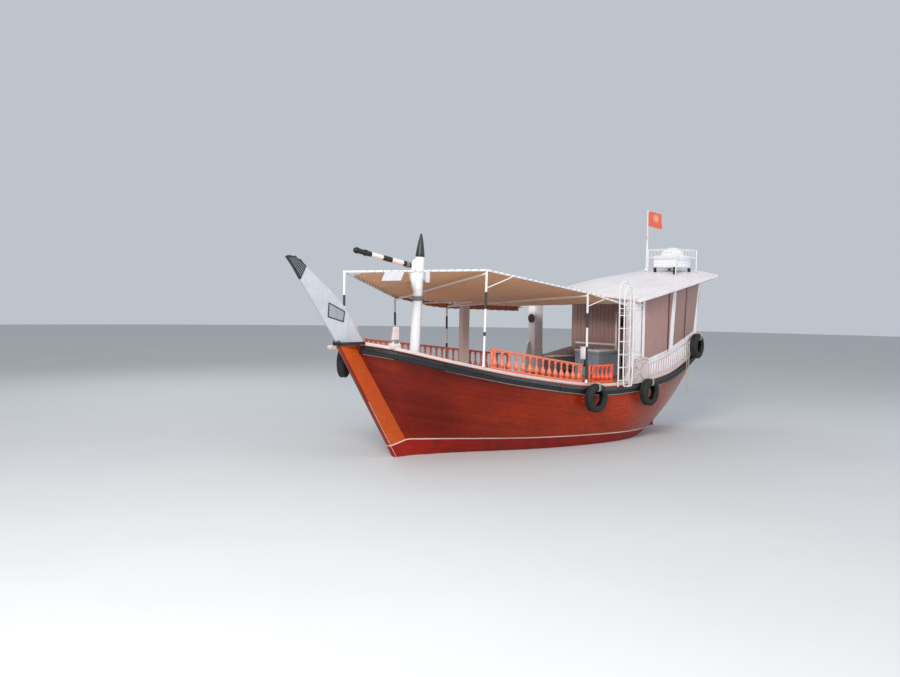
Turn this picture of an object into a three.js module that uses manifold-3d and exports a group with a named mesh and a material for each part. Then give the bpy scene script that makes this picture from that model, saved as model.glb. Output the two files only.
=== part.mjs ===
// A wooden passenger dhow with a raked stem, an awning on pipe posts and a cabin on its poop.
// Millimetres. +X points forward, +Y to port and +Z up. The water is the plane z = 0.
// "aft" is a distance aft of the point where the stem cuts the water, "up" a height above the water,
// and "out" a distance from the centreline.

import * as THREE from 'three';
import { mergeVertices } from 'three/addons/utils/BufferGeometryUtils.js';
import Module from 'manifold-3d';

const wasm = await Module();
wasm.setup();

// Driving dimensions.
const STEM_X = 3800;
const GAP = 0.3;
const PORT = 1;
const STARBOARD = -1;
const SIDES = [['port', PORT], ['starboard', STARBOARD]];

// The planked body. Each row is one raked station, from the rabbet of the stem to the transom:
// [keel aft, keel up, sheer aft, sheer up, sheer out, fullness of the side, turn of the bilge]
const HULL_STATIONS = [
  [750, -450, -1080, 2390, 70, 1.0, 1.0],
  [1250, -620, -550, 2270, 800, 1.11, 0.8],
  [2200, -680, 600, 1980, 1420, 1.5, 0.9],
  [3300, -700, 2200, 1670, 1700, 1.9, 1.2],
  [4600, -700, 4200, 1410, 1775, 2.17, 1.6],
  [5800, -620, 5700, 1405, 1755, 2.58, 1.6],
  [6800, -400, 7100, 1550, 1620, 2.4, 1.5],
  [7500, -160, 8100, 1810, 1420, 2.07, 1.4],
  [8050, 50, 8800, 2060, 1240, 1.61, 1.3],
];
const STATION_STEPS = 2;
const HULL_LEVELS = [0, 0.06, 0.16, 0.3, 0.45, 0.6, 0.8, 1];
const BACKBONE_HALF = 70;

// The stem, keel and sternpost timber, and the aperture for the propeller: [aft, up].
const STEM_RAKE = 0.6;
const STERN_RAKE = 0.373;
const POST_FACE_AT_WATER = 8141;
const KEEL_BOTTOM = -930;
const POST_TOP = 1600;
const APERTURE = { fore: 7180, aft: 7560, low: -860, high: -300 };

// Rails along the sheer.
const RUB_RAIL = { deep: 150, out: 60, fore: -1000, aft: 8690 };
const CAP_RAIL = { high: 70, wide: 130, over: 10, fore: -960, aft: 5560 };

// Decks.
const WELL = { fore: 900, aft: 5600, up: 1250, wall: 100 };
const POOP = { fore: 5600, aft: 8520, up: 1400, wall: 90 };
const PLANKING = 30;

// Colours, with roughness and metalness.
const finish = (color, roughness, metalness = 0) =>
  new THREE.MeshStandardMaterial({ color, roughness, metalness });
const FINISH = {
  hull: finish(0x8e3318, 0.35),
  backbone: finish(0xb4532a, 0.4),
  white: finish(0xece4e2, 0.45),
  plate: finish(0xdcdee8, 0.5),
  black: finish(0x1b2627, 0.5),
  rose: finish(0xead6d4, 0.5),
  deck: finish(0x9a7355, 0.7),
  orange: finish(0xe0764e, 0.4),
  panel: finish(0xab8580, 0.55),
  canvas: finish(0xb9805f, 0.9),
  flag: finish(0xe0664e, 0.8),
  tyre: finish(0x323f40, 0.85),
  grey: finish(0x8c98a4, 0.5),
  iron: finish(0x5d6366, 0.5, 0.8),
  bronze: finish(0xa07a3c, 0.35, 0.9),
  rope: finish(0xc9c4b4, 0.9),
};

const part = new THREE.Group();

const at = (aft, out, up) => new THREE.Vector3(STEM_X - aft, out, up);
const lerp = (a, b, f) => a + (b - a) * f;

// Reads a table of rows that start with a distance aft, and interpolates its other columns.
function readTable(table, aft) {
  const last = table.length - 1;
  let row = 0;
  while (row < last - 1 && aft > table[row + 1][0]) row += 1;
  const share = (aft - table[row][0]) / (table[row + 1][0] - table[row][0]);
  const f = Math.min(Math.max(share, 0), 1);
  return table[row].slice(1).map((value, column) => lerp(value, table[row + 1][column + 1], f));
}

// Solids.
function fromArrays(positions, triangles) {
  const geometry = new THREE.BufferGeometry();
  geometry.setAttribute('position', new THREE.Float32BufferAttribute(positions, 3));
  geometry.setIndex(triangles);
  return solid(geometry);
}

function solid(geometry) {
  const bare = geometry.clone();
  bare.deleteAttribute('normal');
  bare.deleteAttribute('uv');
  const merged = mergeVertices(bare, 1e-4);
  const vertProperties = Float32Array.from(merged.attributes.position.array);
  const index = Uint32Array.from(merged.index.array);
  const triVerts = withoutSlivers(index);
  const body = new wasm.Manifold(new wasm.Mesh({ numProp: 3, vertProperties, triVerts }));
  if (body.volume() >= 0) return body;
  for (let i = 0; i < triVerts.length; i += 3) [triVerts[i], triVerts[i + 1]] = [triVerts[i + 1], triVerts[i]];
  return new wasm.Manifold(new wasm.Mesh({ numProp: 3, vertProperties, triVerts }));
}

function withoutSlivers(index) {
  const kept = [];
  for (let i = 0; i < index.length; i += 3) {
    const [a, b, c] = index.slice(i, i + 3);
    if (a !== b && b !== c && c !== a) kept.push(a, b, c);
  }
  return Uint32Array.from(kept);
}

function toGeometry(body) {
  const { vertProperties, triVerts, numProp } = body.getMesh();
  const positions = new Float32Array((vertProperties.length / numProp) * 3);
  for (let i = 0; i < positions.length / 3; i += 1) {
    for (let k = 0; k < 3; k += 1) positions[i * 3 + k] = vertProperties[i * numProp + k];
  }
  const geometry = new THREE.BufferGeometry();
  geometry.setAttribute('position', new THREE.BufferAttribute(positions, 3));
  geometry.setIndex(Array.from(triVerts));
  geometry.computeVertexNormals();
  return geometry;
}

// Joins rings of equal length into one closed solid, with a flat cap on the first and the last ring.
function loft(rings) {
  const count = rings[0].length;
  const positions = rings.flat().flatMap((p) => [p.x, p.y, p.z]);
  const triangles = [];
  for (let i = 0; i < rings.length - 1; i += 1) {
    for (let j = 0; j < count; j += 1) {
      const k = (j + 1) % count;
      const [a, b, c, d] = [i * count + j, i * count + k, (i + 1) * count + k, (i + 1) * count + j];
      triangles.push(a, b, c, a, c, d);
    }
  }
  const last = (rings.length - 1) * count;
  for (const [a, b, c] of capOf(rings[0])) triangles.push(a, c, b);
  for (const [a, b, c] of capOf(rings[rings.length - 1])) triangles.push(last + a, last + b, last + c);
  return fromArrays(positions, triangles);
}

// Triangles of a flat ring, worked out in the ring's own plane and turning the way the ring runs.
function capOf(ring) {
  const normal = new THREE.Vector3();
  ring.forEach((p, i) => {
    const q = ring[(i + 1) % ring.length];
    normal.add(new THREE.Vector3().crossVectors(p, q));
  });
  const turn = new THREE.Quaternion().setFromUnitVectors(normal.normalize(), new THREE.Vector3(0, 0, 1));
  const flat = ring.map((p) => {
    const q = p.clone().applyQuaternion(turn);
    return new THREE.Vector2(q.x, q.y);
  });
  return THREE.ShapeUtils.triangulateShape(flat, []);
}

// A plate in the centre plane, or beside it: an outline of [aft, up] points with a thickness across.
function plate(outline, thick, out = 0) {
  const shape = new THREE.Shape(outline.map(([aft, up]) => new THREE.Vector2(-aft, up)));
  const geometry = new THREE.ExtrudeGeometry(shape, { depth: thick, bevelEnabled: false });
  geometry.rotateX(Math.PI / 2);
  geometry.translate(STEM_X, out + thick / 2, 0);
  return solid(geometry);
}

function box(foreAft, outLow, outHigh, low, high) {
  const [fore, aft] = foreAft;
  const geometry = new THREE.BoxGeometry(aft - fore, outHigh - outLow, high - low);
  geometry.translate(STEM_X - (fore + aft) / 2, (outLow + outHigh) / 2, (low + high) / 2);
  return solid(geometry);
}

// A round bar from one point to another.
function rod(from, to, radius, sides = 8, endRadius = radius) {
  const length = from.distanceTo(to);
  const geometry = new THREE.CylinderGeometry(endRadius, radius, length, sides);
  geometry.translate(0, length / 2, 0);
  const along = to.clone().sub(from).normalize();
  geometry.applyQuaternion(new THREE.Quaternion().setFromUnitVectors(new THREE.Vector3(0, 1, 0), along));
  geometry.translate(from.x, from.y, from.z);
  return solid(geometry);
}

function ball(centre, radius, around = 8, over = 4) {
  const geometry = new THREE.SphereGeometry(radius, around, over);
  geometry.translate(centre.x, centre.y, centre.z);
  return solid(geometry);
}

// A pipe with smooth bends through a list of points.
function bentPipe(points, radius, sides = 8, steps = 24, curvature = 0.5) {
  const path = new THREE.CatmullRomCurve3(points, false, 'catmullrom', curvature);
  const section = new THREE.Shape(circle(radius, sides));
  const geometry = new THREE.ExtrudeGeometry(section, { steps, extrudePath: path, bevelEnabled: false });
  return solid(geometry);
}

function circle(radius, sides) {
  return Array.from({ length: sides }, (_, i) => {
    const angle = (2 * Math.PI * i) / sides;
    return new THREE.Vector2(radius * Math.cos(angle), radius * Math.sin(angle));
  });
}

// A turned piece that stands on z = 0. Each row of the profile is [radius, height].
function turned(profile, sides = 12) {
  const points = profile.map(([radius, height]) => new THREE.Vector2(radius, height));
  const geometry = new THREE.LatheGeometry(points, sides);
  geometry.rotateX(Math.PI / 2);
  return solid(geometry);
}

const union = (bodies) => bodies.reduce((sum, body) => sum.add(body));
const moved = (body, aft, out, up) => body.translate([STEM_X - aft, out, up]);

// Cuts a piece back from what it touches, so that a gap of 0.3 mm stays between them.
const cutBack = (piece, shift, neighbours) =>
  largest(neighbours.reduce((left, neighbour) => left.subtract(neighbour.translate(shift)), piece));
const seatOn = (piece, ...below) => cutBack(piece, [0, 0, GAP], below);
const seatUnder = (piece, ...above) => cutBack(piece, [0, 0, -GAP], above);
const seatBeside = (piece, side, ...inboard) => cutBack(piece, [0, side * 2 * GAP, 0], inboard);

function largest(body) {
  return body.decompose().sort((a, b) => b.volume() - a.volume())[0];
}

function add(name, body, material) {
  const mesh = new THREE.Mesh(toGeometry(body), material);
  mesh.name = name;
  part.add(mesh);
  return body;
}

// The hull's surface. A station's half breadth grows with v, the share of the way up from keel to sheer,
// as 1 - (1 - v) to the power of its fullness, all to the power of one over its turn.
const stations = [];
for (let i = 0; i < HULL_STATIONS.length - 1; i += 1) {
  const rows = [Math.max(i - 1, 0), i, i + 1, Math.min(i + 2, HULL_STATIONS.length - 1)];
  const [a, b, c, d] = rows.map((r) => HULL_STATIONS[r]);
  for (let k = 0; k < STATION_STEPS; k += 1) {
    const f = k / STATION_STEPS;
    stations.push(b.map((value, n) => catmullRom(a[n], value, c[n], d[n], f)));
  }
}
stations.push(HULL_STATIONS[HULL_STATIONS.length - 1]);

function catmullRom(a, b, c, d, f) {
  const slopeB = (c - a) / 2;
  const slopeC = (d - b) / 2;
  const f2 = f * f;
  const f3 = f2 * f;
  return b * (2 * f3 - 3 * f2 + 1) + slopeB * (f3 - 2 * f2 + f) + c * (3 * f2 - 2 * f3) + slopeC * (f3 - f2);
}

function hullPoint(station, v) {
  const [keelAft, keelUp, sheerAft, sheerUp, sheerOut, fullness, turn] = station;
  const share = (1 - (1 - v) ** fullness) ** (1 / turn);
  const out = BACKBONE_HALF + (sheerOut - BACKBONE_HALF) * share;
  return [lerp(keelAft, sheerAft, v), out, lerp(keelUp, sheerUp, v)];
}

const sheerTable = stations.map((s) => [s[2], s[4], s[3]]);

// The sheer at a distance aft: [out, up].
const sheerAt = (aft) => readTable(sheerTable, aft);

// The hull's half breadth at a distance aft and a height.
function hullOut(aft, up) {
  let before = null;
  for (const station of stations) {
    const v = Math.min(Math.max((up - station[1]) / (station[3] - station[1]), 0), 1);
    const [pointAft, out] = hullPoint(station, v);
    if (pointAft >= aft) {
      if (!before) return out;
      return lerp(before[1], out, (aft - before[0]) / (pointAft - before[0]));
    }
    before = [pointAft, out];
  }
  return before[1];
}

// Distances aft at which a piece along the sheer has a ring: the hull's own stations between its ends.
function ringsBetween(fore, aft, extra = []) {
  const inside = [...sheerTable.map(([here]) => here), ...extra].filter((here) => here > fore + 5 && here < aft - 5);
  return [fore, ...inside.sort((a, b) => a - b), aft].filter((here, i, all) => i === 0 || here - all[i - 1] > 5);
}

// The slope of the sheer's plan at a distance aft, averaged over a short stretch.
function planSlope(aft) {
  const step = 60;
  return (sheerAt(aft + step)[0] - sheerAt(aft - step)[0]) / (2 * step);
}

// The level unit vector that points out of the side of the boat at a distance aft.
function outward(aft, side) {
  return new THREE.Vector3(planSlope(aft), side, 0).normalize();
}

// A bar that follows the sheer. Each section point is [out from the sheer line, up from the sheer line],
// measured square to the sheer line's plan.
function alongSheer(side, fore, aft, section, lift = () => 0) {
  const rings = ringsBetween(fore, aft).map((here) => {
    const [out, up] = sheerAt(here);
    const widen = Math.hypot(1, planSlope(here));
    return section.map(([away, rise]) => at(here, side * (out + away * widen), up + lift(here) + rise));
  });
  return loft(rings);
}

// A wall that stands along the sheer, inset from it, between two heights that change with the distance aft.
// Its head may stand further aft than its foot.
function wallAlong(side, rings, inset, thick, lowAt, highAt, headAft = () => 0) {
  return loft(rings.map((here) => {
    const outer = side * (sheerAt(here)[0] - inset);
    const inner = side * (sheerAt(here)[0] - inset - thick);
    const head = here + headAft(here);
    return [at(here, outer, lowAt(here)), at(head, outer, highAt(here)), at(head, inner, highAt(here)), at(here, inner, lowAt(here))];
  }));
}

// A flat deck panel between the hull's sides.
function deckPanel(fore, aft, outAt, lowAt, thick) {
  return loft(ringsBetween(fore, aft).map((here) => {
    const out = outAt(here);
    const low = lowAt(here);
    return [at(here, out, low), at(here, out, low + thick), at(here, -out, low + thick), at(here, -out, low)];
  }));
}

// Backbone: stem, keel and sternpost in one outline, with gudgeon lugs for the rudder.
const stemFace = (up) => -STEM_RAKE * up;
const postFace = (up) => POST_FACE_AT_WATER + STERN_RAKE * up;
const STEM_TOP = 2390;
const INNER_EDGE = [
  [-960, STEM_TOP], [900, -300], [1300, -500], [2200, -560], [3300, -580], [4600, -580],
  [5800, -500], [6800, -280], [7500, -40], [7990, 160], [8560, POST_TOP],
];
const OUTER_EDGE = [
  [stemFace(STEM_TOP), STEM_TOP], [stemFace(-450), -450], [480, -720], [800, -880], [1300, KEEL_BOTTOM],
  [postFace(KEEL_BOTTOM), KEEL_BOTTOM], [postFace(POST_TOP), POST_TOP],
];
const backboneOutline = (inner) => [...OUTER_EDGE, ...inner.slice().reverse()];
const APERTURE_OUTLINE = [
  [APERTURE.fore, APERTURE.low], [APERTURE.aft, APERTURE.low],
  [APERTURE.aft, APERTURE.high], [APERTURE.fore, APERTURE.high],
];

// The rudder turns about a raked line just aft of the post. Its own frame has that line as z,
// with x aft, and is laid along the post by placeRudder.
const RUDDER_AXIS_BEHIND_POST = 38;
const RUDDER = { thick: 60, low: -790, high: 1500, chord: 620, head: 190 };
const LUGS = [-500, 250, 1150];
const LUG = { high: 60, thick: 44 };
const PINTLE = { radius: 15, bore: 15.8, sides: 20 };
const RUDDER_TILT = Math.atan(STERN_RAKE);
const STOCK_RADIUS = RUDDER.thick / 2;

const rudderFoot = at(POST_FACE_AT_WATER + RUDDER_AXIS_BEHIND_POST, 0, 0);
function placeRudder(body) {
  const degrees = THREE.MathUtils.radToDeg(RUDDER_TILT);
  return body.rotate([0, -degrees, 0]).translate([rudderFoot.x, rudderFoot.y, rudderFoot.z]);
}

// An upright plate in the rudder's frame, from an outline of [x forward of the axis, height along it].
function rudderPlate(outline, thick) {
  const shape = new THREE.Shape(outline.map(([x, z]) => new THREE.Vector2(x, z)));
  const geometry = new THREE.ExtrudeGeometry(shape, { depth: thick, bevelEnabled: false });
  geometry.rotateX(Math.PI / 2);
  geometry.translate(0, thick / 2, 0);
  return solid(geometry);
}

function pintle(radius, height) {
  const pin = new THREE.CylinderGeometry(radius, radius, LUG.high + 20, PINTLE.sides);
  pin.rotateX(Math.PI / 2);
  pin.translate(0, 0, height + LUG.high / 2);
  return solid(pin);
}

const lugBodies = LUGS.map((height) => {
  const reachBack = RUDDER_AXIS_BEHIND_POST + 30;
  return placeRudder(rudderPlate([
    [-STOCK_RADIUS + 4, height], [reachBack, height],
    [reachBack, height + LUG.high], [-STOCK_RADIUS + 4, height + LUG.high],
  ], LUG.thick)).subtract(placeRudder(pintle(PINTLE.bore, height)));
});

const SHAFT = { radius: 30, bore: 30.9, depth: 90, up: -580, sides: 24 };
const shaftBore = rod(at(APERTURE.fore - SHAFT.depth, 0, SHAFT.up), at(APERTURE.fore + 20, 0, SHAFT.up), SHAFT.bore, SHAFT.sides);
const timber = plate(backboneOutline(INNER_EDGE), 2 * BACKBONE_HALF);
const aperture = plate(APERTURE_OUTLINE, 4 * BACKBONE_HALF);
const backbone = union([timber, ...lugBodies]).subtract(aperture).subtract(shaftBore);

// Hull: the lofted body, less the slot for the backbone, the main well, the poop well and the engine pit.
const hullRings = stations.map((station) => {
  const portSide = HULL_LEVELS.map((v) => hullPoint(station, v));
  const port = portSide.map(([aft, out, up]) => at(aft, out, up));
  const starboard = portSide.map(([aft, out, up]) => at(aft, -out, up)).reverse();
  return [...port, ...starboard];
});
const hullBody = loft(hullRings);
const POST_START = 7900;
const slotEdge = INNER_EDGE.map(([aft, up]) => [aft + (aft > POST_START ? -0.5 : 0.5), up + 0.5]);
const slot = plate(backboneOutline(slotEdge), 2 * (BACKBONE_HALF + GAP));
function wellBody({ fore, aft, up, wall }) {
  return loft(ringsBetween(fore, aft).map((here) => {
    const [sheerOut, sheerUp] = sheerAt(here);
    const low = hullOut(here, up) - wall;
    const high = sheerOut - wall;
    const top = sheerUp + 40;
    return [at(here, low, up), at(here, high, top), at(here, -high, top), at(here, -low, up)];
  }));
}

const ENGINE_PIT = { fore: 6040, aft: 6760, half: 360, low: 150 };
const enginePit = box([ENGINE_PIT.fore, ENGINE_PIT.aft], -ENGINE_PIT.half, ENGINE_PIT.half, ENGINE_PIT.low, POOP.up + 10);
const wells = wellBody(WELL).add(wellBody({ ...POOP, fore: POOP.fore - 1 }));
const hull = add('hull', largest(hullBody.subtract(slot).subtract(wells).subtract(enginePit)), FINISH.hull);
add('backbone', backbone, FINISH.backbone);

// Decks.
const capInner = (aft) => sheerAt(aft)[0] + (CAP_RAIL.over - CAP_RAIL.wide) * Math.hypot(1, planSlope(aft));
const insideWell = (up, wall) => (aft) => hullOut(aft, up) - wall - 1;
const mainDeck = deckPanel(WELL.fore + 1, WELL.aft - 2, insideWell(WELL.up, WELL.wall), () => WELL.up + GAP, PLANKING);
add('main_deck', mainDeck, FINISH.deck);
const poopPanel = deckPanel(POOP.fore + 1, POOP.aft - 1, insideWell(POOP.up, POOP.wall), () => POOP.up + GAP, PLANKING);
const deckHatchway = box([ENGINE_PIT.fore, ENGINE_PIT.aft], -ENGINE_PIT.half, ENGINE_PIT.half, POOP.up - 10, POOP.up + 60);
const sternSlot = box([8300, 8600], -BACKBONE_HALF - 1, BACKBONE_HALF + 1, POOP.up - 20, POOP.up + 60);
const poopDeck = poopPanel.subtract(deckHatchway).subtract(sternSlot);
add('poop_deck', poopDeck, FINISH.deck);
const foredeck = deckPanel(
  -600, WELL.fore - 10, (aft) => capInner(aft) - 5, (aft) => sheerAt(aft)[1] + GAP, PLANKING,
);

// Rails along the sheer, port and starboard.
const stemSpace = box([-1500, -500], -BACKBONE_HALF - 1, BACKBONE_HALF + 1, 2000, 2600);
const rubRails = {};
const capRails = {};
for (const [name, side] of SIDES) {
  const { deep, out } = RUB_RAIL;
  const rubSection = [[-30, -20], [out, -20], [out + 8, -20 - deep / 2], [out, -20 - deep], [-90, -20 - deep]];
  const rub = alongSheer(side, RUB_RAIL.fore, RUB_RAIL.aft, rubSection);
  rubRails[name] = add(`rub_rail_${name}`, seatBeside(rub.subtract(stemSpace), side, hullBody), FINISH.black);
  const { high, wide, over } = CAP_RAIL;
  const capSection = [[over, GAP], [over, high], [over - wide, high], [over - wide, GAP]];
  const cap = alongSheer(side, CAP_RAIL.fore, CAP_RAIL.aft, capSection).subtract(stemSpace);
  capRails[name] = add(`cap_rail_${name}`, cap, FINISH.rose);
}
const capTop = (aft) => sheerAt(aft)[1] + CAP_RAIL.high;
const capMiddle = (aft) => sheerAt(aft)[0] + (CAP_RAIL.over - CAP_RAIL.wide / 2) * Math.hypot(1, planSlope(aft));
add('foredeck', foredeck, FINISH.deck);

// The stemhead: a white board above the stem, with a dark fluted tip. Outlines are [aft, up].
const BOARD_THICK = 56;
const BOARD_FOOT = STEM_TOP + GAP;
const BOARD_OUTLINE = [
  [-1440, BOARD_FOOT], [-2310, 3655], [-2175, 3915], [-1860, 3660], [-1330, 3180], [-1010, 2720], [-800, BOARD_FOOT],
];
const TIP_OUTLINE = [
  [-2310.4, 3655.2], [-2620, 4090], [-2480, 4110], [-2300, 4030], [-2175.4, 3915.2],
];
const board = plate(BOARD_OUTLINE, BOARD_THICK);
add('stemhead_board', board, FINISH.plate);
add('stemhead_tip', plate(TIP_OUTLINE, BOARD_THICK + 30), FINISH.black);

// A short round timber fixed to the starboard side of the stem, near its top.
const BOW_TIMBER = { aft: -1310, up: 2300, radius: 50, end: -520 };
add('bow_timber', rod(
  at(BOW_TIMBER.aft, -BACKBONE_HALF - GAP, BOW_TIMBER.up), at(BOW_TIMBER.aft, BOW_TIMBER.end, BOW_TIMBER.up), BOW_TIMBER.radius, 12,
), FINISH.rose);

// Mooring bollards on the cap rail near the bow.
const BOLLARD = { aft: -560, foot: 115, waist: 82, head: 62, high: 430 };
for (const [name, side] of SIDES) {
  const foot = capTop(BOLLARD.aft) - 20;
  const square = (half, rise, back) => [[-1, -1], [1, -1], [1, 1], [-1, 1]].map(([a, b]) =>
    at(BOLLARD.aft + back + a * half, side * capMiddle(BOLLARD.aft) + b * half * 0.55, foot + rise));
  const body = loft([
    square(BOLLARD.foot, 0, 0), square(BOLLARD.foot, 60, 0), square(BOLLARD.waist, 130, 4),
    square(BOLLARD.head, 330, 20), square(BOLLARD.head * 0.8, BOLLARD.high, 26),
  ]);
  add(`bollard_${name}`, seatOn(body, capRails[name]), FINISH.rose);
}

// Mast, its dark pointed top and the striped spar on its starboard side.
const MAST = { footAft: 480, topAft: 640, foot: 1900, top: 4200, radius: 108, headRadius: 98, point: 4700 };
const mastAft = (up) => lerp(MAST.footAft, MAST.topAft, (up - MAST.foot) / (MAST.point - MAST.foot));
const mastFoot = at(mastAft(MAST.foot), 0, sheerAt(MAST.footAft)[1] + PLANKING - 20);
const mastPole = rod(mastFoot, at(mastAft(MAST.top), 0, MAST.top), MAST.radius, 14, MAST.headRadius);
const cheek = plate([
  [mastAft(3400) - 60, 3400], [mastAft(3600) - 175, 3620], [mastAft(4100) - 190, 4080],
  [mastAft(4150) - 150, 4150], [mastAft(4150), 4150], [mastAft(3400), 3400],
], 90);
const mastBody = seatOn(mastPole.add(cheek), foredeck);
const mastTop = rod(at(mastAft(MAST.top + 0.5), 0, MAST.top + 0.5), at(mastAft(MAST.point), 0, MAST.point), MAST.headRadius - 4, 14, 16);
add('mast_top', mastTop, FINISH.black);

const SPAR = { radius: 58, out: -165, heelAft: 860, heelUp: 3960, tipAft: -950, tipUp: 4290, sides: 12 };
const sparHeel = at(SPAR.heelAft, SPAR.out, SPAR.heelUp);
const sparTip = at(SPAR.tipAft, SPAR.out, SPAR.tipUp);
const sparPole = rod(sparHeel, sparTip, SPAR.radius, SPAR.sides, SPAR.radius * 0.9);
const SPAR_PIN_UP = lerp(SPAR.heelUp, SPAR.tipUp, (SPAR.heelAft - mastAft(4020)) / (SPAR.heelAft - SPAR.tipAft));
const sparPin = rod(at(mastAft(4020), SPAR.out, SPAR_PIN_UP), at(mastAft(4020), -60, SPAR_PIN_UP), 22, 20);
const pinHole = rod(at(mastAft(4020), SPAR.out - 80, SPAR_PIN_UP), at(mastAft(4020), -55, SPAR_PIN_UP), 22.8, 20);
add('spar', sparPole.add(sparPin), FINISH.white);
add('mast', mastBody.subtract(pinHole), FINISH.white);

// Awning frame: pipe posts on the cap rails and the pipe round the edge of the canvas.
const PIPE = 24;
const AWNING_POINTS = {
  apex: [-1290, 0, 3830],
  portFore: [1080, 1600, 3910], portMiddle: [3960, 1765, 3500], portAft: [5370, 1740, 3230],
  starboardFore: [1150, -1610, 3350], starboardMiddle: [2840, -1765, 3200], starboardAft: [5370, -1740, 3140],
};
const corner = (name, drop = 0) => {
  const [aft, out, up] = AWNING_POINTS[name];
  return at(aft, out, up - drop);
};
const pipe = (a, b, sides = 6) => rod(a, b, PIPE, sides);
const POST_BESIDE_RAIL = 53;
const postFoot = (aft, side) => at(aft, side * (capMiddle(aft) + POST_BESIDE_RAIL), capTop(aft - PIPE) + GAP);
const POSTS = [['portFore', PORT], ['portMiddle', PORT], ['starboardFore', STARBOARD], ['starboardMiddle', STARBOARD]];
const postBodies = POSTS.map(([name, side]) => pipe(postFoot(AWNING_POINTS[name][0], side), corner(name), 8));
const frontPost = pipe(at(AWNING_POINTS.apex[0], 0, 3100), corner('apex'), 8);
const RAIL_RUNS = [
  ['apex', 'portFore', 0], ['portFore', 'portMiddle', 0], ['portMiddle', 'portAft', 0],
  ['apex', 'starboardFore', 0], ['starboardFore', 'starboardMiddle', 0], ['starboardMiddle', 'starboardAft', 0],
  ['portFore', 'starboardFore', 60], ['portMiddle', 'starboardMiddle', 60],
];
const railBodies = RAIL_RUNS.map(([a, b, drop]) => pipe(corner(a, drop), corner(b, drop)));
const knuckles = Object.keys(AWNING_POINTS).map((name) => ball(corner(name), PIPE));
const awningFrame = seatOn(union([...postBodies, frontPost, ...railBodies, ...knuckles]), board);
add('awning_frame', awningFrame, FINISH.white);

// Awning canvas: flat panels between the edge pipes, folded over each cross pipe and on two diagonals.
// A corner is a point of the frame, and the share of the pipe that leads to it. Panels are threes of corners.
const CANVAS = { thick: 12, above: PIPE + 0.6, fore: 0.204, aft: 0.98, mastHole: 150 };
const CANVAS_CORNERS = [
  ['portFore', CANVAS.fore], ['starboardFore', CANVAS.fore], ['portFore', 1], ['starboardFore', 1],
  ['portMiddle', 1], ['starboardMiddle', 1], ['portAft', CANVAS.aft], ['starboardAft', CANVAS.aft],
];
const CANVAS_PANELS = [[0, 2, 3], [0, 3, 1], [2, 4, 3], [3, 4, 5], [4, 6, 7], [4, 7, 5]];
const BEFORE = { portFore: 'apex', starboardFore: 'apex', portAft: 'portMiddle', starboardAft: 'starboardMiddle' };
const canvasCorners = CANVAS_CORNERS.map(([name, share]) => (share < 1 ? corner(BEFORE[name]).lerp(corner(name), share) : corner(name)));

// A sheet of even upright thickness: its panels above and below, and walls along the edges that one panel has.
function foldedSheet(corners, panels, rise, thick) {
  const count = corners.length;
  const positions = [rise, rise + thick].flatMap((lift) => corners.flatMap((p) => [p.x, p.y, p.z + lift]));
  const edges = panels.flatMap(([a, b, c]) => [[a, b], [b, c], [c, a]]);
  const rim = edges.filter(([a, b]) => !edges.some(([c, d]) => a === d && b === c));
  const triangles = [
    ...panels.flatMap(([a, b, c]) => [a + count, b + count, c + count, a, c, b]),
    ...rim.flatMap(([a, b]) => [a, b, b + count, a, b + count, a + count]),
  ];
  return fromArrays(positions, triangles);
}
const mastHole = rod(at(mastAft(3300), 0, 3300), at(mastAft(4100), 0, 4100), CANVAS.mastHole, 14);
const cheekHole = box([mastAft(3700) - 230, mastAft(3700)], -80, 80, 3300, 4200);
const canvas = foldedSheet(canvasCorners, CANVAS_PANELS, CANVAS.above, CANVAS.thick).subtract(mastHole.add(cheekHole));
add('awning_canvas', canvas, FINISH.canvas);

// Balustrades on the cap rails: a foot rail, turned balusters and a top rail.
const BALUSTER = [[0, 0], [44, 10], [46, 90], [20, 230], [34, 330], [0, 360]];
const BALUSTER_SPACING = 235;
const balustradeHigh = (aft, side) => {
  const table = side === PORT
    ? [[1200, 2340], [4100, 1880], [5000, 1860]]
    : [[-200, 2460], [1290, 2310], [4330, 1990], [5300, 1900]];
  return readTable(table, aft)[0];
};
const RAIL = { high: 45, wide: 56, foot: 40 };
function balustrade(side, fore, aft, spacing = BALUSTER_SPACING, level = false) {
  const top = (here) => (level ? balustradeHigh((fore + aft) / 2, side) : balustradeHigh(here, side));
  const middle = CAP_RAIL.wide / 2 - CAP_RAIL.over;
  const rail = (rise) => alongSheer(
    side, fore, aft,
    [[-middle + RAIL.wide / 2, 0], [-middle + RAIL.wide / 2, RAIL.high], [-middle - RAIL.wide / 2, RAIL.high], [-middle - RAIL.wide / 2, 0]],
    rise,
  );
  const bodies = [
    rail(() => CAP_RAIL.high + GAP),
    rail((here) => top(here) - sheerAt(here)[1] - RAIL.high),
  ];
  const count = Math.max(2, Math.round((aft - fore) / spacing));
  for (let i = 0; i < count; i += 1) {
    const here = lerp(fore, aft, (i + 0.5) / count);
    const foot = capTop(here) + RAIL.foot - 12;
    const high = top(here) - RAIL.high - foot + 6;
    const profile = BALUSTER.map(([radius, height]) => [radius, (height / 360) * high]);
    bodies.push(moved(turned(profile, 6), here, side * capMiddle(here), foot));
  }
  for (const end of [fore + 24, aft - 24]) {
    const foot = capTop(end) + GAP + 4;
    const post = box([end - 22, end + 22], -22, 22, 0, top(end) - foot - 2);
    bodies.push(post.translate([0, side * capMiddle(end), foot]));
  }
  return union(bodies);
}
const BALUSTRADE_PORT = { fore: 1290, aft: 3860 };
const BALUSTRADE_STARBOARD = { fore: -60, aft: 4960 };
const GATE = { fore: 4185, aft: 4905 };
const portBalustrade = balustrade(PORT, BALUSTRADE_PORT.fore, BALUSTRADE_PORT.aft);
add('balustrade_port', seatOn(portBalustrade, capRails.port), FINISH.orange);
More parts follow.
